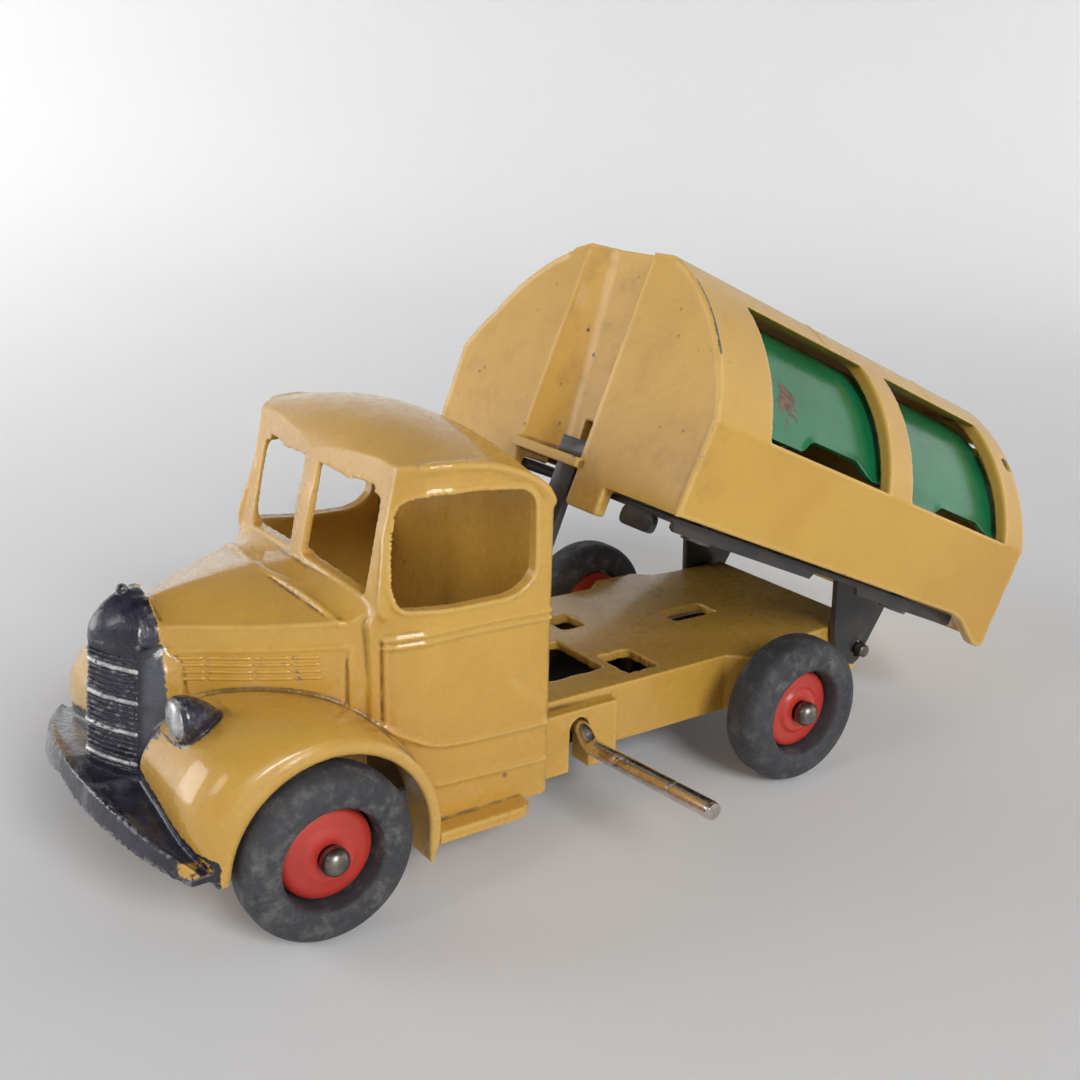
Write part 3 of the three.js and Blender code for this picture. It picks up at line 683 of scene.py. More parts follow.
def casting():
    """The cab and chassis as sharp solids, joined and cut."""
    shell = cab_form()
    knob = turned([(-0.6, 0), (-0.6, 0.55), (0.2, 0.6), (0.5, 0.35), (0.6, 0)], (0.1, -10.7, 29.9), 20, "z")
    union(shell, bonnet_form(), scuttle_form(), *both(wing_form), grille_form(), crest_form(), bumper_form(),
            *both(lamp_form), knob)
    inside = combine(cab_form(1.4, 4.0, 0.6), "INTERSECT", block(-20, 20, 8.7, 30, 4, 50))
    bay = prism([(-3.6, -8.2), (3.6, -8.2), (11.2, 1), (11.2, 9.2), (-11.2, 9.2), (-11.2, 1)], -1, 23.5, "z")
    cut(shell, inside, bay, *both(wheel_well), side_pane(), *both(front_pane), thinned_post())
    union(shell, *both(running_board), chassis_form())
    axle_slot, crank_slot = 1.25, 1.27
    cut(shell,
        block(-11.6, 11.6, -8, REAR, -1, 7.6),
        slot(axle_slot, 0, AXLE_Z, -21, 21),
        slot(axle_slot, BASE_Y, AXLE_Z, -17, 17),
        slot(crank_slot, CRANK[1] - 0.1, 10.4, 8, 17),
        slot(crank_slot, CRANK[1] - 0.1, 10.4, -14.2, -8),
        prism(circle(PIVOT[1], PIVOT[2], 1.1, 24), -17, 17, "x"),
        ragged(-1, 8.9, 28.5, 41.2, 3, amount=0.1), ragged(5.5, 11.7, 42.2, 47.0, 4),
        ragged(-2, 1.9, 57.6, 64.6, 5),
        ragged(-7.2, -2.9, 43.6, 47.4, 6))
    return shell


SWEEP = curve([(8.2, 17.6), (9.9, 16.4), (11.1, 15.8), (12.6, 15.1), (13.9, 14.7), (16.6, 14.4),
        (26.9, 14.0)])


def belt_lines(ob, s):
    """Mouldings, door cuts and the window's rim on one side of the cab."""
    x = s * HALF
    straight = lambda a, b, n=24: [(x, a[0] + (b[0] - a[0]) * t, a[1] + (b[1] - a[1]) * t)
            for t in np.linspace(0, 1, n)]
    outer = lambda nrm: np.clip(s * nrm[:, 0] * 1.6 - 0.3, 0, 1)
    at = lambda y, z: (s * float(cab_half(np.array(y), np.array(min(z, 36.5)))), y, z)
    emboss(ob, [at(y, z) for y, z in SIDE_RIM], 0.30, 0.42, outer, 0.1)
    roof_line = [at(y, float(ROOF_SIDE(y)) - 0.15) for y in np.linspace(9.8, 26.9, 40)]
    emboss(ob, [at(8.3, 29), at(8.5, 33), at(8.9, 36), at(9.3, 39)] + roof_line, 0.34, 0.5, None, 0.1)
    for dz in (0, -0.8):
        belt = [(s * float(cab_half(y, np.array(26.5 + dz))), y,
                26.35 + dz + 0.3 * math.sin(math.pi * (y - 8) / 19)) for y in np.linspace(8.4, 26.8, 60)]
        emboss(ob, belt, 0.3, 0.26, outer, 0.1)
    emboss(ob, [(s * float(cab_half(y, np.array(16.0))), y, float(SWEEP(y)))
            for y in np.linspace(8.2, 26.8, 60)], 0.32, 0.3, None, 0.1)
    emboss(ob, straight((13.6, 10.4), (27, 9.8)), 0.24, 0.28, outer)
    for y0, z0, z1 in ((5.55, 19.0, 25.4), (8.25, 17.4, 26.2)):
        half = float(CREASE_X(y0)) + 0.92 if y0 < 7 else float(cab_half(np.array(y0), np.array(20.0)))
        emboss(ob, [(s * half, y0, z) for z in np.linspace(z0, z1, 24)], -0.34, 0.2)
        emboss(ob, [(s * half, y0 + 0.45, z) for z in np.linspace(z0, z1, 24)], 0.2, 0.22)


def scuttle_line(ob):
    path = [(13.75 * t, 2.75 + 2.65 * abs(t) ** 1.4, 30.05 - 2.3 * abs(t) ** 2.2)
            for t in np.linspace(-1, 1, 60)]
    emboss(ob, path, 0.16, 0.34)
    for s in (1, -1):
        emboss(ob, [(s * float(CREASE_X(y)), y, float(CREASE_Z(y))) for y in np.linspace(-8, 5.2, 30)], 0.12,
                0.3)
        emboss(ob, [(s * (float(CREASE_X(y)) + 0.45), y, float(LOWER_Z(y)))
                for y in np.linspace(-8, 5.6, 30)], 0.14, 0.26)


def wing_lip(ob, s):
    """The raised bead round the wheel arch."""
    path = [(s * 21, ARCH_Y + 10.75 * math.cos(a), ARCH_Z + 10.75 * math.sin(a))
            for a in np.radians(np.linspace(-12, 172, 60))]
    emboss(ob, path, 0.22, 0.6)


def louvres(s):
    """Four rows of four pressed bars on the bonnet's side."""
    bars = []
    for row in range(4):
        z0, z1 = 24.05 - 0.66 * row, 24.55 - 0.66 * row
        for a, b in ((-7.6, -5.6), (-5.3, -1.9), (-1.6, 1.1), (1.4, 3.5)):
            pts = []
            for y in np.linspace(a, b, 8):
                t = (y + 7.7) / 12.2
                z = z0 + (z1 - z0) * t
                low = float(LOWER_Z(y))
                x = float(CREASE_X(y)) + 0.45 + 0.5 * min(1, max(0, (low - z) / 3.2))
                pts.append((s * (x - 0.02), y, z))
            bars.append(tube(pts, 0.2, 8))
    return bars


# ---------- tipping body casting ----------
VZ, VR, VX, SPRING, CROWN, RIM = 10.6, 25.3, 23.5, 18.4, 34.3, 34.75
FRONT, BACK, FLOOR, TOE, SKIN = -46.3, 11.8, 8.35, 5.4, 1.6
SPANS = [(-37.8, -16.9), (-12.5, 7.7)]
SILL, HEAD = 18.7, 32.1
DOOR_Y, DOOR_Z = 10.8, 28.6
RIVET_AT = [(-18.7, -38), (18.7, -38), (-18.7, -2), (18.7, -2)]


def vault(inset, bottom, crown):
    """The body's cross-section in its own axes: flat sides, an arch and a flat crown."""
    r = VR - inset
    top = math.degrees(math.asin((crown - VZ) / r))
    low = math.degrees(math.acos(min(1, (VX + 0.45 - inset) / r)))
    right = [(VX - inset, bottom), (VX - inset, 8.3)] + arc(0, VZ, r, low, top, 56)
    return right + [(-x, z) for x, z in reversed(right)]


def body_casting():
    """The arched body as sharp solids, joined and cut, in the body's own axes."""
    p = body_to_design
    side = [(FRONT, FLOOR), (FRONT, 40), (BACK, 40), (BACK, TOE + 0.4), (10.8, TOE), (9.7, TOE + 0.2),
            (7.8, 6.6), (5.6, 7.9), (3.6, FLOOR)]
    ridge = prism([(-7.4, 33), (7.4, 33), (7.4, RIM - 0.1), (6.6, RIM), (-6.6, RIM), (-7.4, RIM - 0.1)], 7.9,
            15, "y", p)
    shell = union(prism(vault(0, 3, CROWN), FRONT, 20, "y", p), ridge)
    combine(shell, "INTERSECT", prism(side, -30, 30, "x", p))
    cut(shell, prism(vault(SKIN, 0, CROWN - 1.7), FRONT + 1.5, BACK + 1, "y", p))
    union(shell, block(-7.3, 7.3, FRONT, FRONT + 5, FLOOR, 33, p))
    tympanum = combine(prism(vault(0.6, 8, CROWN - 0.6), 9.9, BACK - 0.25, "y", p), "INTERSECT",
            block(-30, 30, 9, 12, DOOR_Z + 1.5, 40, p))
    union(shell, tympanum)
    for s in (1, -1):
        wing = prism(vault(0.6, 8, CROWN - 0.6), 9.6, 10.05, "y", p)
        union(shell, combine(wing, "INTERSECT", block(*out_to(s, 13.9, 22), 9, 11, 26.2, 31, p)))
    for s in (1, -1):
        x0, x1 = out_to(s, 5.9, 11.4)
        union(shell, prism(rounded([(x0, 9.2), (x0, 5.2), (x1, 5.2), (x1, 9.2)], 0.5, 2), FRONT, FRONT + 1.5,
                "y", p))
    for x, y in RIVET_AT:
        union(shell, block(*out_to(math.copysign(1, x), 16.4, 22.5), y - 2.4, y + 2.4, FLOOR, FLOOR + 3, p))
    f = FRONT

    def scoop(u, v, w):
        x, z = -5.9 + 11.5 * u, 10.4 + 25.6 * w
        g = np.clip(u / 0.42, 0, 1)
        depth = (3.4 - 2.45 * w) * np.sin(g * math.pi / 2) ** 1.2
        q = p(np.stack([x, f - 1 + (1.02 + depth) * v, z], -1))
        return q[:, 0], q[:, 1], q[:, 2]

    cut(shell, warped(40, 3, 24, scoop), block(-5.9, 5.9, f - 1, f + 6, 4, 9.4, p),
            block(0.6, 5.8, f - 1, f + 6, 9.0, 14.8, p))
    for y0, y1 in SPANS:
        for s in (1, -1):
            cut(shell, block(*out_to(s, 9.5, 30), y0, y1, SILL, HEAD, p))
    cut(shell, prism(circle(DOOR_Y, DOOR_Z, 0.72, 18), -30, 30, "x", p))
    union(shell, block(-6.2, 6.4, f - 0.8, f - 0.3, 9.3, 10.45, p))
    return shell


def body_lines(ob):
    p = body_to_design
    rim = [(x, FRONT, z) for x, z in vault(0.1, FLOOR, CROWN)[1:-1]]
    for side in ([q for q in rim if q[0] > 9.8], [q for q in rim if q[0] < -9.8]):
        emboss(ob, p(side), 0.16, 0.42)
    for s in (1, -1):
        emboss(ob, p([(s * (VX + 0.3), y, SPRING) for y in np.linspace(FRONT, 7, 60)]), 0.07, 0.4)
        emboss(ob, p([(s * 5.9, FRONT + 0.1, z) for z in np.linspace(11, 33.5, 40)]), 0.13, 0.25)
        for y in (-23.4, -1.8):
            emboss(ob, p([(s * x, y, CROWN if x < 8.5 else VZ + math.sqrt(VR**2 - x * x))
                    for x in np.linspace(7.6, 12.4, 20)]), 0.12, 0.3)


SHUT_X, SHUT_Z, SHUT_R = 2.1, 11.1, 20.9


def shutter(side, span, lows, notch):
    """A curved tinplate shutter: its lower edge is pressed up in the middle for a fingertip."""
    y0, y1 = span[0] - 2.0, span[1] + (2.0 if span[1] < 0 else 1.7)
    a, b, c, d = notch

    def low_z(y):
        ramp = np.clip(np.minimum((y - a) / (b - a), (d - y) / (d - c)), 0, 1)
        ramp = ramp * ramp * (3 - 2 * ramp)
        base = lows[0] + (lows[2] - lows[0]) * (y - y0) / (y1 - y0)
        return base + (lows[1] - base) * ramp

    def place(u, v, w):
        y = y0 + (y1 - y0) * u
        low = np.arcsin((low_z(y) - SHUT_Z) / SHUT_R)
        high = math.radians(73.4)
        t = low + (high - low) * v
        curl = 0.25 * np.exp(-(((t - low) / math.radians(1.3)) ** 2))
        crown = np.clip((t - 0.6) / 0.5, 0, 1)
        r = SHUT_R - 0.5 * (1 - w) + curl + 0.42 * crown * crown * (3 - 2 * crown)
        return side * (SHUT_X + r * np.cos(t)), y, SHUT_Z + r * np.sin(t)

    def full(u, v, w):
        q = body_to_design(np.stack(np.broadcast_arrays(*place(u, v, w)), -1))
        return q[:, 0], q[:, 1], q[:, 2]

    return warped(72, 44, 2, full)


# ---------- smaller pieces ----------
def bevelled(ob, width):
    """Rounds the sharp edges to a width in millimetres."""
    m = ob.modifiers.new("v", "BEVEL")
    m.width, m.segments, m.limit_method, m.angle_limit = width * MM, 2, "ANGLE", math.radians(35)
    m.use_clamp_overlap = True
    applied(ob)
    return smooth_shade(ob, 40)


def spline_profile(points, n):
    """Points along a smooth line through a profile."""
    p = np.array(points, float)
    t = np.concatenate([[0], np.cumsum(np.linalg.norm(np.diff(p, axis=0), axis=1))])
    s = np.linspace(0, t[-1], n)
    return list(zip(curve(list(zip(t, p[:, 0])))(s), curve(list(zip(t, p[:, 1])))(s)))


def tyre(x, y):
    half = [(0, 8.65), (0.9, 8.63), (1.7, 8.42), (2.3, 7.95), (2.65, 7.2), (2.78, 6.4), (2.7, 5.7),
            (2.45, 5.2), (1.9, 5.03)]
    profile = [(-a, r) for a, r in reversed(half)] + half[1:]
    ring = spline_profile(profile, 56)
    ob = turned(ring + ring[:1], (x, y, AXLE_Z), 128)
    return smooth_shade(ob)


def hub(side, x, y, stepped):
    face = [(1.42, 1.25), (1.5, 1.7), (1.5, 2.35), (1.42, 2.6)]
    face += [(1.12, 2.75), (1.05, 3.0), (1.05, 3.9)] if stepped else [(1.3, 2.9), (1.22, 3.4), (1.12, 3.95)]
    face += [(0.98, 4.3), (0.78, 4.55), (0.45, 4.71), (0.1, 4.76), (-1.0, 4.76), (-2.0, 4.72), (-2.1, 4.5),
            (-2.1, 1.25)]
    ob = turned([(a * side, r) for a, r in face + face[:1]], (x, y, AXLE_Z), 96)
    return smooth_shade(ob, 50)


def axle(y):
    end = TRACK + 1.85
    half = [(end, 0.95), (end, 1.3), (end + 0.12, 1.42), (end + 0.75, 1.42), (end + 1.1, 1.3),
            (end + 1.45, 1.0), (end + 1.65, 0.6), (end + 1.7, 0)]
    ob = turned([(-a, r) for a, r in reversed(half)] + half, (0, y, AXLE_Z), 40)
    return smooth_shade(ob, 45)


def crank():
    y, z = CRANK[1], CRANK[2]
    tip = np.array([36.03, 34.0, 9.95])
    key = [(-13.2, y, z), (-6, y, z), (4, y, z), (11, y, z), (14.4, y, z), (15.6, y, z - 0.25),
            (16.5, y + 0.02, z - 1.0),
           (17.4, y + 0.05, z - 1.38), (18.8, y + 0.1, z - 1.36)]
    p = np.array(key, float)
    t = np.concatenate([[0], np.cumsum(np.linalg.norm(np.diff(p, axis=0), axis=1))])
    s = np.linspace(0, t[-1], 90)
    bent = np.stack([curve(list(zip(t, p[:, k])))(s) for k in range(3)], 1)
    straight = bent[-1] + (tip - bent[-1]) * np.linspace(0, 1, 110)[1:, None]
    path = np.concatenate([bent, straight])
    n = len(path)

    def radius(f):
        i = f * (n - 1)
        g = (i - 89) / 109
        r = 0.95
        r -= 0.10 * math.exp(-(((g - 0.66) / 0.012) ** 2))
        r -= 0.12 * max(0, (g - 0.965) / 0.035) ** 2
        return r

    ob = tube(path, radius, 40, 0.25)
    co, nrm = coords(ob), normals(ob)
    rng = np.random.default_rng(2)
    for k in range(11):
        g = 0.14 + 0.13 * rng.random()
        at = bent[-1] + (tip - bent[-1]) * g
        a = rng.uniform(-0.4, 1.7)
        at = at + 0.95 * np.array([0, -math.cos(a), math.sin(a)])
        d = np.linalg.norm((co - at) / np.array([0.22, 0.3, 0.3]), axis=1)
        co -= nrm * (0.09 * np.exp(-(d**2)))[:, None]
    set_coords(ob, co)
    return smooth_shade(ob, 50)


def lifting_arm():
    y, z = CRANK[1], CRANK[2]
    hy, hz = -45.6, 11.4
    at = lambda b, h: tuple(body_to_design([0, hy + b, hz + h])[1:])
    side = [(y - 1.2, z), (29.9, 15.6), (31.6, 20), at(-0.15, -4), at(-0.15, 0), at(0.7, 0), at(0.7, -4),
            (32.9, 19.6), (31.3, 16), (y + 1.2, z + 1)]
    front = [(1.5, 8), (4.9, 8), (4.9, 42), (1.5, 42), (1.5, 33.2), (-4.6, 33.2), (-4.6, 31.4), (1.5, 18)]
    strip = combine(prism(side, -6, 6, "x"), "INTERSECT", prism(front, 20, 50, "y"))
    boss = prism(circle(y, z, 2.1, 45), 1.5, 4.9, "x")
    head = prism([at(-0.2, -1), at(0.9, -1), at(0.9, 1), at(-0.2, 1)], 0.9, 5.5, "x")
    union(strip, boss, head)
    cut(strip, prism(circle(y, z, 1.2, 36), 0, 6, "x"))
    return bevelled(strip, 0.15)


def sub_frame():
    p = body_to_design
    z, half, front, rear = 7.45, 21.5, -44.4, 6.2
    tray = block(-half, half, front, rear, z, z + 0.6, p)
    for s in (1, -1):
        wall = [(front, z + 0.5), (front, 6.9), (front + 0.5, 6.6), (-21.8, 6.6), (-21.2, z + 0.05),
                (-13.4, z + 0.05), (-12.8, 6.6),
                (rear - 0.5, 6.6), (rear, 6.9), (rear, z + 0.5)]
        union(tray, prism(wall, *out_to(s, half - 0.6, half), "x", p))
    cut(tray, block(-5.2, 5.8, front - 1, -13.5, 4, 12, p))
    for s in (1, -1):
        leg = [(-8.8, z + 0.6), (-5.2, 0.6), (-4.4, -0.4), (-2.2, -1.8), (-0.9, -2.25), (0.2, -2.1),
                (0.9, -1.3), (1.05, 0.3), (2.1, 6.4), (2.1, z + 0.6)]
        union(tray, prism(leg, *out_to(s, 13.8, 14.6), "x", p))
        l0, l1 = out_to(s, 13.4, 18.6)
        lug = rounded([(l0, z + 0.2), (l0, 5.5), (l1, 5.5), (l1, z + 0.2)], 1.1, 4)
        union(tray, prism(lug, front - 0.3, front + 0.5, "y", p))
    cut(tray, prism(circle(0, 0, 1.1, 24), -17, 17, "x", p))
    for x, y in RIVET_AT:
        cut(tray, prism(circle(x, y, 1.2, 24), 6, 9, "z", p))
    return bevelled(tray, 0.1)


def rear_door():
    p = body_to_design
    panel = combine(prism(vault(SKIN + 0.4, 6.4, DOOR_Z + 1), DOOR_Y - 0.5, DOOR_Y + 0.5, "y", p),
            "INTERSECT",
                    union(block(-30, 30, 0, 20, 0, DOOR_Z - 1.8, p),
                    block(-13.6, 13.6, 0, 20, 20, DOOR_Z - 0.9, p)))
    barrel = prism(circle(DOOR_Y, DOOR_Z, 1.1, 36), -13.6, 13.6, "x", p)
    handle = prism(rounded([(DOOR_Y, 11.4), (DOOR_Y + 1.25, 11.5), (DOOR_Y + 1.25, 12.2), (DOOR_Y, 12.3)],
            0.3, 3), -3, 3, "x", p)
    ob = union(panel, barrel, handle)
    frame_line = rounded([(-19, 9), (19, 9), (19, 19), (13.5, 25.2), (-13.5, 25.2), (-19, 19)], 3, 6)
    bead = tube(p([(x, DOOR_Y + 0.42, z) for x, z in frame_line + frame_line[:1]]), 0.35, 8)
    union(ob, bead)
    for x in (-8, 0, 8):
        union(ob, tube(p([(x, DOOR_Y + 0.4, zz) for zz in np.linspace(13.5, 23.5, 12)]), 0.38, 8))
    cut(ob, prism(circle(DOOR_Y, DOOR_Z, 0.75, 24), -15, 15, "x", p))
    return ob


def base_plate():
    outline = rounded([(-7.5, -3.4), (7.5, -3.4), (11.3, 2), (11.3, 74), (-11.3, 74), (-11.3, 2)], 1, 3)
    ob = prism(outline, 6.7, 7.3, "z")
    for y in (4.2, 52):
        cut(ob, prism(circle(0, y, 2.3, 32), 6, 8, "z"))
    for y0, y1 in ((9, 26), (30, 47)):
        for x in (-6, 6):
            groove = [(x + (0.5 if q > 0 else -0.5), yy) for q, yy in ((1, y0), (1, y1), (-1, y1), (-1, y0))]
            cut(ob, prism(rounded(groove, 0.45, 4), 6.5, 6.95, "z"))
    return bevelled(ob, 0.1)


# ---------- materials ----------
def srgb(r, g, b):
    """A colour given as it looks on screen, 0 to 255, as shader numbers."""
    f = lambda v: v / 12.92 if v <= 0.04045 else ((v + 0.055) / 1.055) ** 2.4
    return (f(r / 255), f(g / 255), f(b / 255), 1)


class Finish:
    """A material being drawn up, with short names for the nodes it uses."""

    def __init__(self, name):
        self.material = bpy.data.materials.new(name)
        self.material.use_nodes = True
        self.tree = self.material.node_tree
        self.tree.nodes.clear()
        self.where = self.node("ShaderNodeTexCoord").outputs["Object"]

    def node(self, kind, **props):
        n = self.tree.nodes.new(kind)
        for k, v in props.items():
            setattr(n, k, v)
        return n

    def put(self, socket, value):
        if hasattr(value, "is_output"):
            self.tree.links.new(value, socket)
        else:
            socket.default_value = value

    def math(self, op, a, b, clamp=False):
        n = self.node("ShaderNodeMath", operation=op, use_clamp=clamp)
        self.put(n.inputs[0], a)
        self.put(n.inputs[1], b)
        return n.outputs[0]

    def times(self, a, b):
        return self.math("MULTIPLY", a, b)

    def plus(self, a, b):
        return self.math("ADD", a, b)

    def minus(self, a, b):
        return self.math("SUBTRACT", a, b)

    def noise(self, scale, detail=3.0, rough=0.6):
        """Noise whose scale is in lumps per millimetre."""
        n = self.node("ShaderNodeTexNoise")
        self.put(n.inputs["Vector"], self.where)
        for k, v in (("Scale", scale / MM), ("Detail", detail), ("Roughness", rough)):
            n.inputs[k].default_value = v
        return n.outputs["Fac"]

    def cells(self, scale):
        n = self.node("ShaderNodeTexVoronoi")
        self.put(n.inputs["Vector"], self.where)
        n.inputs["Scale"].default_value = scale / MM
        return n.outputs["Distance"]

    def step(self, value, lo, hi, a=0.0, b=1.0):
        """a below lo, b above hi, smooth between."""
        n = self.node("ShaderNodeMapRange", interpolation_type="SMOOTHSTEP")
        for socket, v in zip(n.inputs[:5], (value, lo, hi, a, b)):
            self.put(socket, v)
        return n.outputs[0]

    def field(self, name):
        return self.node("ShaderNodeAttribute", attribute_name=name).outputs["Fac"]

    def blend(self, amount, a, b):
        n = self.node("ShaderNodeMix", data_type="RGBA")
        self.put(n.inputs[0], amount)
        self.put(n.inputs[6], a)
        self.put(n.inputs[7], b)
        return n.outputs[2]

    def blend_value(self, amount, a, b):
        n = self.node("ShaderNodeMix", data_type="FLOAT")
        self.put(n.inputs[0], amount)
        self.put(n.inputs[2], a)
        self.put(n.inputs[3], b)
        return n.outputs[0]

    def old_enamel(self, drift, base, shade, grime_and_shade_colour, light, lit):
        """Enamel that drifts between two shades, darker in the corners from soiling and painted shade, with a
        painted highlight along the edges.
        """
        self.bend, self.mid = self.field("bend"), self.noise(0.5)
        colour = self.blend(self.step(self.noise(drift), 0.35, 0.68), base, shade)
        # Soiling and painted shade: darker in patches where the surface bends inward.
        dark_corners = self.times(self.step(self.bend, -0.12, -0.45), self.step(self.mid, 0.3, 0.6, 0.25, 0.8))
        colour = self.blend(dark_corners, colour, grime_and_shade_colour)
        # Painted highlight: lighter where the surface bends outward, along the edges.
        return self.blend(self.step(self.bend, *lit), colour, light)

    def specked(self, colour, size, lo, hi, most):
        """Dark specks in patches."""
        specks = self.times(self.step(self.cells(size), 0.16, 0.07),
                self.step(self.noise(0.16, 2), lo, hi, 0, most))
        return self.blend(specks, colour, srgb(86, 58, 30))

    def chips(self, bend_lo, bend_hi, lo, hi, most):
        """Where the paint has come off the edges."""
        return self.times(self.step(self.bend, bend_lo, bend_hi),
                self.step(self.noise(1.1, 5, 0.7), lo, hi, 0, most))

    def brush_marks(self):
        return self.plus(self.times(self.noise(0.9, 2), 0.75), self.times(self.noise(3.0, 4), 0.25))

    def done(self, colour, rough, height, depth, metallic=0.0, coat=0.0):
        """Height is in 0 to 1, and depth is how many millimetres that is."""
        bump = self.node("ShaderNodeBump")
        bump.inputs["Strength"].default_value = 1.0
        bump.inputs["Distance"].default_value = depth * MM
        self.put(bump.inputs["Height"], height)
        b = self.node("ShaderNodeBsdfPrincipled")
        self.put(b.inputs["Base Color"], colour)
        self.put(b.inputs["Roughness"], rough)
        self.put(b.inputs["Metallic"], metallic)
        b.inputs["Coat Weight"].default_value = coat
        b.inputs["Coat Roughness"].default_value = 0.1
        self.put(b.inputs["Normal"], bump.outputs[0])
        out = self.node("ShaderNodeOutputMaterial")
        self.tree.links.new(b.outputs[0], out.inputs["Surface"])
        return self.material


ZINC = srgb(120, 112, 100)
# The second tan is a tone the paint drifts to at random; the third is a painted highlight for the edges, the
# last soiling and painted shade for the corners.
TAN, TAN_SHADE, TAN_HIGHLIGHT, TAN_GRIME_AND_SHADE = srgb(212, 166, 72), srgb(203, 155, 66), srgb(232, 196, 116), srgb(92,
        66, 30)


def enamel(name, base, shade, worn=ZINC, wear=0.9, gloss=0.26, coat=0.5, bumps=0.035, dots=0.5):
    """Brushed or dipped enamel: slow colour drift, soiling and painted shade in the corners, a painted
    highlight along the edges, chips on the edges, dark specks.
    """
    f = Finish(name)
    # Soiling and painted shade for the corners, and a painted highlight for the edges.
    grime_and_shade_colour, light = tuple(c * 0.38 for c in shade[:3]) + (1,), tuple(min(1, c * 1.35) for c in base[:3]) + (1,)
    colour = f.old_enamel(0.06, base, shade, grime_and_shade_colour, light, (0.10, 0.5, 0, 0.22))
    colour = f.specked(colour, 0.42, 0.55, 0.66, dots)
    chips = f.chips(0.30, 0.55, 0.60, 0.655, wear)
    colour = f.blend(chips, colour, worn)
    rough = f.blend_value(chips, f.step(f.mid, 0.3, 0.7, gloss, gloss + 0.09), 0.55)
    return f.done(colour, rough, f.minus(f.brush_marks(), f.times(chips, 0.6)), bumps, 0.0, coat)


def cab_paint():
    """The casting's tan enamel with hand-brushed black and silver on the nose."""
    f = Finish("tan_paint_cab")
    # Soiling and painted shade in the corners, and a painted highlight along the edges.
    tan = f.old_enamel(0.06, TAN, TAN_SHADE, TAN_GRIME_AND_SHADE, TAN_HIGHLIGHT, (0.10, 0.5, 0, 0.25))
    tan = f.specked(tan, 0.4, 0.58, 0.68, 0.7)
    tan = f.blend(f.chips(0.34, 0.6, 0.62, 0.67, 0.8), tan, ZINC)
    smudge = f.times(f.field("smudge"), f.step(f.noise(0.7, 3), 0.3, 0.62, 0.45, 1.0))
    tan = f.blend(smudge, tan, srgb(58, 46, 40))
    ink = f.blend(f.step(f.noise(0.35, 3), 0.4, 0.6), srgb(40, 40, 56), srgb(26, 26, 38))
    ink = f.blend(f.times(f.step(f.bend, 0.1, 0.4), f.step(f.noise(1.6, 4), 0.48, 0.62)), ink,
            srgb(120, 118, 124))
    ink = f.blend(f.field("plain"), ink, srgb(84, 86, 94))
    edge = f.plus(f.field("black"), f.times(f.minus(f.noise(1.3, 3), 0.5), 1.1))
    inked = f.step(edge, -0.06, 0.06)
    chip = f.times(f.step(f.field("chip"), 0.2, 0.5), f.step(f.noise(1.0, 4), 0.44, 0.5))
    inked = f.math("SUBTRACT", inked, chip, True)
    colour = f.blend(inked, tan, ink)
    rough = f.blend_value(inked, f.step(f.mid, 0.3, 0.7, 0.24, 0.34),
            f.step(f.noise(1.2, 3), 0.35, 0.65, 0.2, 0.42))
    height = f.plus(f.brush_marks(), f.times(inked, f.times(f.noise(1.8, 3), 0.9)))
    return f.done(colour, rough, height, 0.045, 0.0, 0.5)


def body_paint():
    """The tipping body's tan enamel: a darker, rougher front wall and channel from soiling and painted shade,
    rust dots, a chipped black line on the arch.
    """
    f = Finish("tan_paint_body")
    # Soiling and painted shade in the corners, and a strong painted highlight along the edges.
    tan = f.old_enamel(0.05, TAN, TAN_SHADE, TAN_GRIME_AND_SHADE, TAN_HIGHLIGHT, (0.08, 0.4, 0, 0.4))
    # Soiling and painted shade: darker brown over the front wall, most in the channel and low down.
    dirt_and_shade = f.times(f.field("dirt_and_shade"), f.step(f.noise(0.22, 5, 0.7), 0.45, 0.72, 0.0, 0.34))
    tan = f.blend(dirt_and_shade, tan, srgb(150, 104, 52))
    ragged_cells = f.plus(f.cells(0.38), f.times(f.noise(2.5, 3), 0.16))
    patches = f.times(f.field("dirt_and_shade"), f.step(f.noise(0.2, 2), 0.44, 0.56))
    spot = f.times(f.step(ragged_cells, 0.2, 0.13), patches)
    tan = f.blend(spot, tan, srgb(92, 48, 26))
    line = f.step(f.plus(f.field("line"), f.times(f.noise(1.2, 3), 0.7)), 1.02, 1.12)
    tan = f.blend(line, tan, srgb(44, 40, 38))
    tan = f.blend(f.chips(0.34, 0.6, 0.62, 0.67, 0.8), tan, ZINC)
    rough = f.blend_value(dirt_and_shade, f.step(f.mid, 0.3, 0.7, 0.27, 0.36), 0.5)
    height = f.minus(f.brush_marks(), f.plus(f.times(line, 0.7), f.times(spot, 0.5)))
    return f.done(tan, f.plus(rough, 0.07), height, 0.04, 0.0, 0.22)


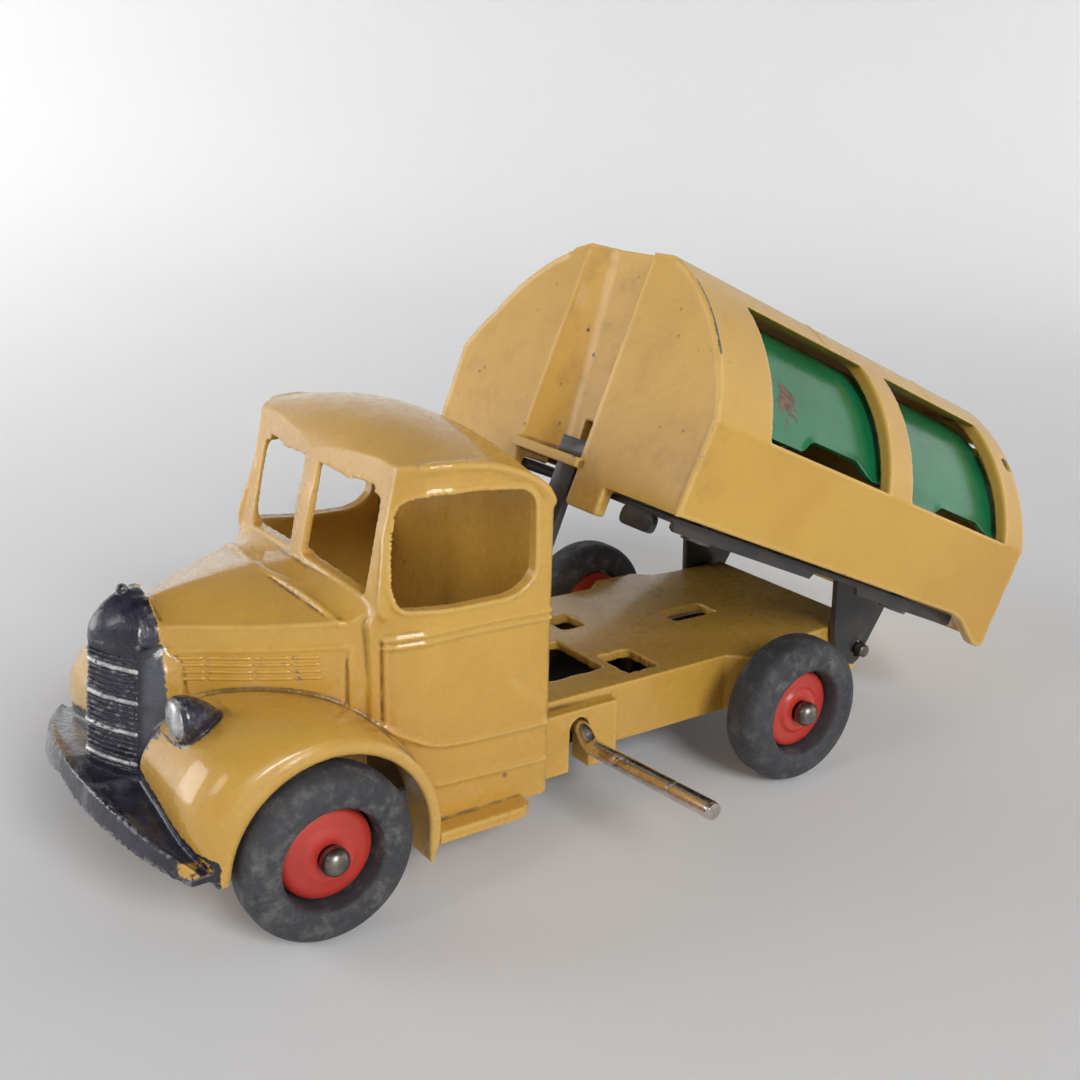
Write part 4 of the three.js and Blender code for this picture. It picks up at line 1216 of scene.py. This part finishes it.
def shutter_paint():
    f = Finish("green_paint")
    bend = f.field("bend")
    green = f.blend(f.step(f.noise(0.07), 0.35, 0.68), srgb(18, 122, 76), srgb(14, 106, 64))
    patch = f.plus(f.field("patch"), f.times(f.minus(f.noise(0.75, 6, 0.75), 0.5), 3.0))
    chipped = f.step(patch, 0.60, 0.66)
    nicks = f.times(f.step(bend, 0.2, 0.5), f.step(f.noise(1.4, 4, 0.7), 0.6, 0.66))
    rust = f.blend(f.step(f.noise(1.6, 4), 0.42, 0.6), srgb(128, 104, 84), srgb(96, 62, 44))
    colour = f.blend(f.math("MAXIMUM", chipped, nicks), green, rust)
    # Painted shade: dark green where the plate bends inward.
    dark_corners = f.times(f.step(bend, -0.1, -0.4), 0.7)
    colour = f.blend(dark_corners, colour, srgb(16, 44, 30))
    rough = f.blend_value(chipped, 0.27, 0.6)
    height = f.minus(f.times(f.noise(0.5, 2), 0.5), f.times(chipped, 0.5))
    return f.done(colour, rough, height, 0.04, 0.0, 0.12)


def tinplate():
    f = Finish("black_tinplate")
    bend = f.field("bend")
    colour = f.blend(f.step(f.noise(0.2), 0.35, 0.65), srgb(46, 46, 49), srgb(62, 60, 58))
    scuff = f.times(f.step(bend, 0.5, 1.2), f.step(f.noise(1.2, 5, 0.7), 0.56, 0.66, 0, 0.5))
    colour = f.blend(scuff, colour, srgb(128, 120, 108))
    dust = f.step(f.noise(0.35, 4), 0.5, 0.75, 0, 0.3)
    colour = f.blend(dust, colour, srgb(92, 82, 70))
    return f.done(colour, f.step(f.noise(0.8, 3), 0.3, 0.7, 0.34, 0.52), f.noise(1.0, 4), 0.04, 0.0, 0.2)


def rubber():
    f = Finish("tyre_rubber")
    base = f.blend(f.step(f.noise(0.12), 0.35, 0.65), srgb(66, 66, 70), srgb(56, 56, 60))
    dusty = f.times(f.step(f.noise(0.5, 6, 0.7), 0.46, 0.72), f.step(f.noise(0.1, 2), 0.3, 0.62, 0.2, 0.85))
    base = f.blend(dusty, base, srgb(118, 116, 114))
    # Painted shade: darker in the tyre's hollows, where the surface bends inward.
    base = f.blend(f.step(f.field("bend"), -0.05, -0.4, 0, 0.7), base, srgb(30, 29, 30))
    return f.done(base, f.step(f.noise(1.5, 4), 0.3, 0.7, 0.55, 0.8), f.noise(1.3, 6, 0.7), 0.05)


def metal(name, base, shade, rough, tarnish, spread_of_tarnish):
    f = Finish(name)
    colour = f.blend(f.step(f.noise(0.5, 4), 0.35, 0.65), base, shade)
    colour = f.blend(f.step(f.noise(1.1, 5, 0.7), 0.58, 0.72, 0, spread_of_tarnish), colour, tarnish)
    # Painted shade: darker in the hollows, where the surface bends inward.
    colour = f.blend(f.step(f.field("bend"), -0.1, -0.4, 0, 0.7), colour, srgb(40, 34, 30))
    return f.done(colour, f.step(f.noise(1.2, 4), 0.3, 0.7, rough - 0.06, rough + 0.12), f.noise(2.0, 4),
            0.02, 1.0)


def plain_ink():
    f = Finish("grille_ink")
    colour = f.blend(f.step(f.noise(0.6, 3), 0.4, 0.6), srgb(46, 46, 60), srgb(28, 28, 40))
    worn = f.times(f.step(f.field("bend"), 0.0, 0.5), f.step(f.noise(1.6, 4), 0.5, 0.66))
    colour = f.blend(worn, colour, srgb(126, 124, 130))
    return f.done(colour, f.step(f.noise(1.2, 3), 0.35, 0.65, 0.22, 0.42), f.noise(2.0, 3), 0.05, 0.0, 0.4)


def brushed_silver():
    f = Finish("silver_paint")
    colour = f.blend(f.step(f.noise(0.9, 4), 0.35, 0.62), srgb(214, 214, 212), srgb(168, 168, 170))
    gone = f.step(f.noise(1.3, 5, 0.7), 0.56, 0.63)
    colour = f.blend(gone, colour, srgb(52, 52, 64))
    return f.done(colour, f.step(f.noise(1.2, 3), 0.3, 0.7, 0.3, 0.5), f.noise(1.6, 4), 0.08, 0.5, 0.2)


PAINT = {
    "cab": cab_paint(),
    "body": body_paint(),
    "tan": enamel("tan_paint", TAN, TAN_SHADE),
    "red": enamel("red_paint", srgb(200, 62, 48), srgb(186, 52, 42), srgb(120, 60, 48), 0.6, 0.36, 0.2, 0.03,
    0.2),
    "green": shutter_paint(),
    "tin": tinplate(),
    "rubber": rubber(),
    "steel": metal("steel", srgb(150, 144, 136), srgb(110, 104, 98), 0.36, srgb(84, 66, 46), 0.7),
    "nickel": metal("nickel", srgb(216, 208, 204), srgb(190, 180, 174), 0.2, srgb(152, 142, 134), 0.3),
    "ink": plain_ink(),
    "silver": brushed_silver(),
}


def fitted(ob, name, body, node, paint):
    """Gives a piece its name, finish and body, and hides the CAD node it stands for."""
    ob.name = ob.data.name = name
    if "bend" not in ob.data.attributes:
        bends(ob)
    ob.data.materials.clear()
    ob.data.materials.append(PAINT[paint])
    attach(ob, body)
    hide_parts(node)


def nose_fields(ob):
    """Where the brush put black on the nose, and where the plain band, the smudges and the bumper's chip lie,
    as signed millimetres and amounts.
    """
    co = coords(ob)
    x, y, z = np.abs(co[:, 0]), co[:, 1], co[:, 2]
    grille = np.minimum(BAND_X(np.clip(z, 10.3, 27)) + 0.12 - x, BAND_Y(np.clip(z, 10.3, 28)) - 0.1 - y)
    grille = np.minimum(grille, z - 9.5)
    crest_edge = np.interp(z, [25, 27.5, 29.2, 30.6], [-8.7, -9.0, -9.3, -9.3])
    crest = np.minimum(np.minimum(5.1 - x, crest_edge - y), z - 23.8)
    bumper = np.minimum(np.interp(x, [0, 5, 12, 16, 20.4], [15.0, 14.4, 13.0, 12.0, 11.0]) - z,
                        np.interp(x, [0, 5, 8, 13, 20.4], [-11.0, -10.9, -10.7, -10.9, -10.2]) - y)
    lx, lz = x - (11.0 + 0.12 * (y + 9.9)), z - (20.45 - 0.05 * (y + 9.9))
    lamp_r = np.interp(y, [-10.4, -9.3, -7.8, -6.0, -5.4], [2.6, 2.6, 2.3, 1.0, -0.5])
    lamp = np.minimum(lamp_r - np.hypot(lx, lz), -5.5 - y)
    black = np.maximum.reduce([grille, crest, bumper, lamp])
    attribute(ob, "black", np.clip(black, -3, 3))
    plain = np.clip((x - np.interp(z, [10, 14, 24], [5.3, 5.25, 4.8])) / 0.35, 0,
            1) * (z < 24.6) * (grille > -0.1)
    attribute(ob, "plain", plain)
    behind = np.exp(-(((x - 11.8) / 1.6) ** 2) - (((y + 5.2) / 1.5) ** 2) - (((z - 19.6) / 1.3) ** 2))
    inner = np.exp(-(((x - 9.2) / 1.7) ** 2) - (((y + 7.8) / 1.8) ** 2) - (((z - 15.6) / 2.0) ** 2))
    attribute(ob, "smudge", np.clip(behind + 0.8 * inner, 0, 1))
    end = np.exp(-(((co[:, 0] - 19.6) / 1.0) ** 2) - (((z - 10.1) / 0.7) ** 2))
    attribute(ob, "chip", end)


def grille_bars():
    """The fine rungs across the radiator, and the four silver ones."""
    rungs, bands = [], []
    silver_at = (23.6, 20.5, 17.4, 14.35)
    z = 11.2
    rng = np.random.default_rng(5)
    while z < 25.1:
        for ridge in silver_at:
            if abs(z - ridge) < 0.26:
                z = ridge
        bright = any(abs(z - q) < 0.01 for q in silver_at)
        path = []
        for t in np.linspace(-1, 1, 44):
            a = abs(t)
            bx, by, front = float(BAR_X(z)), float(BAR_Y(z)), float(RIDGE(z))
            y = front + (by - front) * a - 0.35 * math.sin(math.pi * a)
            path.append((t * (bx - 0.12), y - 0.05, z - 0.55 * a + 0.03 * rng.standard_normal()))
        if bright:
            bands.append(tube(path, lambda f: 0.27 + 0.03 * math.sin(13 * f), 8, 0.8))
        else:
            rungs.append(tube(path, 0.17, 7, 0.8))
        z += 0.517
    return join("radiator_rungs", *rungs), join("radiator_bands", *bands)


def cab_piece():
    shell = casting()
    cast(shell, VOXEL, 5)
    for side in (1, -1):
        belt_lines(shell, side)
        wing_lip(shell, side)
    scuttle_line(shell)
    relax(shell, 1)
    bends(shell, 7)
    thin(shell, CAB_FACES)
    smooth_shade(shell)
    nose_fields(shell)
    fitted(shell, "cab_and_chassis", "chassis", "cab_chassis", "cab")
    slats = join("bonnet_louvres", *louvres(1), *louvres(-1))
    fitted(smooth_shade(slats), "bonnet_louvres", "chassis", "cab_chassis", "tan")
    rungs, bands = grille_bars()
    fitted(smooth_shade(rungs), "radiator_rungs", "chassis", "cab_chassis", "ink")
    fitted(smooth_shade(bands), "radiator_bands", "chassis", "cab_chassis", "silver")
    for side, word in ((1, "left"), (-1, "right")):
        lens = turned([(0.35, 0), (0.35, 1.95), (-0.15, 1.98), (-0.34, 1.75), (-0.5, 1.2), (-0.6, 0.6),
                (-0.63, 0)],
                      (side * 10.98, -9.95, 20.45), 48, "y")
        fitted(smooth_shade(lens, 60), word + "_headlamp_lens", "chassis", "cab_chassis", "silver")


def worn_arch(ob):
    """Bends in the right-hand side of the front arch, which the photograph shows lower."""
    x, y, z = in_body(coords(ob))
    r, angle = np.hypot(x, z - VZ), np.degrees(np.arctan2(z - VZ, -x))
    k = np.clip((FRONT + 7 - y) / 7, 0, 1) ** 1.3 * np.clip((angle - 20) / 14, 0,
            1) * np.clip((76 - angle) / 10, 0, 1)
    k = 1.35 * k * np.clip((r - 14) / 8, 0, 1) * (x < 0)
    out = np.stack([x - k * x / r, y, z - k * (z - VZ) / r], -1)
    set_coords(ob, body_to_design(out))


def body_fields(ob):
    """Body axes: where soiling and painted shade darken the front wall, and the dark line on the arch."""
    x, y, z = in_body(coords(ob))
    # Soiling and painted shade: the whole front wall, most in the channel and low down, a little everywhere.
    wall = np.clip((FRONT + 3.2 - y) / 0.5, 0, 1)
    channel = np.exp(-((x / 5.5) ** 4))
    low = np.exp(-(((z - 9) / 6) ** 2))
    attribute(ob, "dirt_and_shade", wall * np.clip(0.45 + 0.6 * channel + 0.4 * low, 0, 1) + 0.12)
    r = np.hypot(x, z - VZ)
    angle = np.degrees(np.arctan2(z - VZ, x))
    front_line = np.exp(-(((y - FRONT - 0.35) / 0.4) ** 2)) * (r > VR - 0.6)
    where = np.clip((angle - 32) / 4, 0, 1) * np.clip((62 - angle) / 4, 0, 1)
    attribute(ob, "line", front_line * where)


def body_piece():
    ob = body_casting()
    cast(ob, VOXEL * 1.1, 4)
    body_lines(ob)
    worn_arch(ob)
    relax(ob, 1)
    bends(ob, 7)
    thin(ob, BODY_FACES)
    smooth_shade(ob)
    body_fields(ob)
    fitted(ob, "refuse_body_shell", "tipping_body", "refuse_body", "body")


def shutter_pieces():
    for end, span, lows in (("front", SPANS[0], (19.25, 20.8, 19.3)),
            ("rear", SPANS[1], (18.7, 19.8, 18.75))):
        for side, word in ((1, "left"), (-1, "right")):
            notch = [span[0] + (span[1] - span[0]) * f for f in (0.34, 0.46, 0.79, 0.97)]
            ob = shutter(side, span, lows, notch)
            x, y, z = in_body(coords(ob))
            angle = np.degrees(np.arctan2(z - SHUT_Z, np.abs(x) - SHUT_X))
            patch = np.exp(-(((y + 32.6) / 2.1) ** 2) - (((angle - 38) / 8) ** 2)) if (end, side) == ("front",
                    1) else 0 * y
            attribute(ob, "patch", patch - 0.35 * (patch < 0.02))
            smooth_shade(ob, 50)
            bends(ob)
            name = f"{end}_{word}_shutter"
            fitted(ob, name + "_plate", name + "_body", name, "green")


def small_pieces():
    for end, y in (("front", 0.0), ("rear", BASE_Y)):
        for side, word in ((1, "left"), (-1, "right")):
            body = f"{end}_{word}_wheel"
            fitted(tyre(side * TRACK, y), f"{end}_{word}_tyre_ring", body, f"{end}_{word}_tyre", "rubber")
            fitted(hub(side, side * TRACK, y, end == "rear"), f"{end}_{word}_hub_disc", body,
                    f"{end}_{word}_hub", "red")
        fitted(axle(y), f"{end}_axle_rod", "chassis", f"{end}_axle", "steel")
    fitted(crank(), "crank_rod", "crank", "crank_handle", "nickel")
    fitted(lifting_arm(), "lifting_arm_strip", "crank", "lifting_arm", "tin")
    fitted(sub_frame(), "sub_frame_tray", "tipping_body", "sub_frame", "tin")
    door = rear_door()
    cast(door, VOXEL * 1.2, 2)
    thin(door, DOOR_FACES)
    fitted(smooth_shade(door), "rear_door_panel", "tailgate", "rear_door", "tan")
    hinge = [(-17.4, 0), (-17.4, 0.45), (-17.3, 0.55), (17.3, 0.55), (17.4, 0.45), (17.4, 0)]
    pin = turned(hinge, (0, DOOR_Y, DOOR_Z), 24)
    set_coords(pin, body_to_design(coords(pin)))
    fitted(smooth_shade(pin, 45), "door_hinge_rod", "tipping_body", "door_hinge_pin", "steel")
    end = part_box("pivot_pin")[1].x / MM
    pin = turned([(-end, 0), (-end, 0.6), (-end + 0.15, 0.8), (end - 0.15, 0.8), (end, 0.6), (end, 0)], PIVOT,
            32)
    fitted(smooth_shade(pin, 45), "pivot_rod", "chassis", "pivot_pin", "steel")
    fitted(base_plate(), "base_plate_sheet", "chassis", "base_plate", "tin")


def rivet_head(node, body):
    """A finer copy of a CAD rivet: edges rounded, then finished like the rest."""
    ob = bpy.data.objects.new(node, frame["nodes"][node].data.copy())
    bpy.context.scene.collection.objects.link(ob)
    bm = bmesh.new()
    bm.from_mesh(ob.data)
    bmesh.ops.remove_doubles(bm, verts=bm.verts, dist=1e-6)
    bmesh.ops.dissolve_limit(bm, angle_limit=math.radians(1), verts=bm.verts, edges=bm.edges)
    bm.to_mesh(ob.data)
    bm.free()
    bevelled(ob, 0.15)
    fitted(ob, node + "_head", body, node, "steel")


def rivets():
    for node in ("base_plate_front_rivet", "base_plate_rear_rivet"):
        rivet_head(node, "chassis")
    for end in ("front", "rear"):
        for word in ("left", "right"):
            rivet_head(f"sub_frame_{end}_{word}_rivet", "tipping_body")


cab_piece()
body_piece()
shutter_pieces()
small_pieces()
rivets()
for ob in frame["nodes"].values():
    ob.data.materials.clear()
    ob.data.materials.append(PAINT["tan"])


# ---------- floor, light and camera ----------
def backdrop():
    """A pale floor that sweeps up into a pale wall, turned about the object."""
    flat, bend = 0.4, 1.1  # metres
    profile = [(0, 0), (flat / 2, 0), (flat, 0)]
    profile += [(flat + bend * math.sin(a), bend - bend * math.cos(a))
            for a in np.radians(np.linspace(3, 72, 24))]
    n, points, faces = 96, [], []
    for r, z in profile:
        points += [(r * math.cos(t), r * math.sin(t), z)
                for t in np.linspace(0, 2 * math.pi, n, endpoint=False)]
    for i in range(len(profile) - 1):
        for k in range(n):
            j = (k + 1) % n
            faces.append([i * n + k, i * n + j, (i + 1) * n + j, (i + 1) * n + k])
    points = np.array(points) / MM
    floor = outward(mesh_object("backdrop", points - [0, DATUM[1], 0], faces))
    smooth_shade(floor)
    f = Finish("paper")
    n = f.node("ShaderNodeVectorMath", operation="LENGTH")
    f.put(n.inputs[0], f.where)
    # Painted shade and light: the paper is a little darker near the object and lighter further out, where it
    # rises into the wall.
    colour = f.blend(f.step(n.outputs["Value"], 0.08, 0.7), srgb(240, 240, 241), srgb(252, 252, 252))
    colour = f.blend(f.step(f.noise(0.004, 2), 0.35, 0.65, 0, 0.04), colour, srgb(214, 214, 216))
    floor.data.materials.append(f.done(colour, 0.75, f.noise(1.0, 3), 0.004))


def area_light(name, at, target, size, power, spread=180):
    """A round light: places and size in metres, power in watts, spread in degrees."""
    data = bpy.data.lights.new(name, "AREA")
    data.shape, data.size, data.energy, data.spread = "DISK", size, power, math.radians(spread)
    ob = bpy.data.objects.new(name, data)
    bpy.context.scene.collection.objects.link(ob)
    ob.location = at
    ob.rotation_euler = (Vector(target) - Vector(at)).to_track_quat("-Z", "Y").to_euler()


def camera():
    """The photograph's view: angles, lens and place as fitted to it."""
    place = (0.11981, -0.07618, 0.06721)
    az, el, roll = math.radians(54.992), math.radians(17.79), math.radians(1.546)
    back = Vector((math.sin(az) * math.cos(el), -math.cos(az) * math.cos(el), math.sin(el)))
    right = Vector((math.cos(az), math.sin(az), 0))
    up = back.cross(right)
    r = math.cos(roll) * right + math.sin(roll) * up
    u = -math.sin(roll) * right + math.cos(roll) * up
    data = bpy.data.cameras.new("camera")
    data.sensor_width, data.lens, data.clip_start = 36, 44.26, 0.005
    ob = bpy.data.objects.new("camera", data)
    bpy.context.scene.collection.objects.link(ob)
    ob.matrix_world = Matrix([(r[k], u[k], back[k], place[k]) for k in range(3)] + [(0, 0, 0, 1)])
    bpy.context.scene.camera = ob


backdrop()
camera()
world = bpy.data.worlds.new("room")
world.use_nodes = True
sky = world.node_tree
height, strength = sky.nodes.new("ShaderNodeSeparateXYZ"), sky.nodes.new("ShaderNodeMapRange")
sky.links.new(sky.nodes.new("ShaderNodeTexCoord").outputs["Generated"], height.inputs[0])
sky.links.new(height.outputs["Z"], strength.inputs[0])
# Brightest up to 0.35 of the way from the horizon to straight up, and nearly dark overhead.
for socket, value in zip(strength.inputs[1:5], (0.35, 1.0, 0.46, 0.06)):
    socket.default_value = value
sky.nodes["Background"].inputs["Color"].default_value = (1, 1, 1, 1)
sky.links.new(strength.outputs[0], sky.nodes["Background"].inputs["Strength"])
bpy.context.scene.world = world
area_light("window", (0.77, -0.07, 0.47), (0, 0, 0.02), 0.34, 3.8)
area_light("front_wall", (-0.30, -0.45, 0.15), (0, -0.05, 0), 0.3, 0.9)
area_light("left_wall", (-0.1, -0.75, 0.6), (-0.85, -0.05, 0.12), 0.5, 4.0, 90)
area_light("back_wall", (0.3, 0.6, 0.9), (0.2, 1.1, 0.15), 0.5, 3.4, 120)
bpy.context.scene.view_settings.view_transform = "Standard"
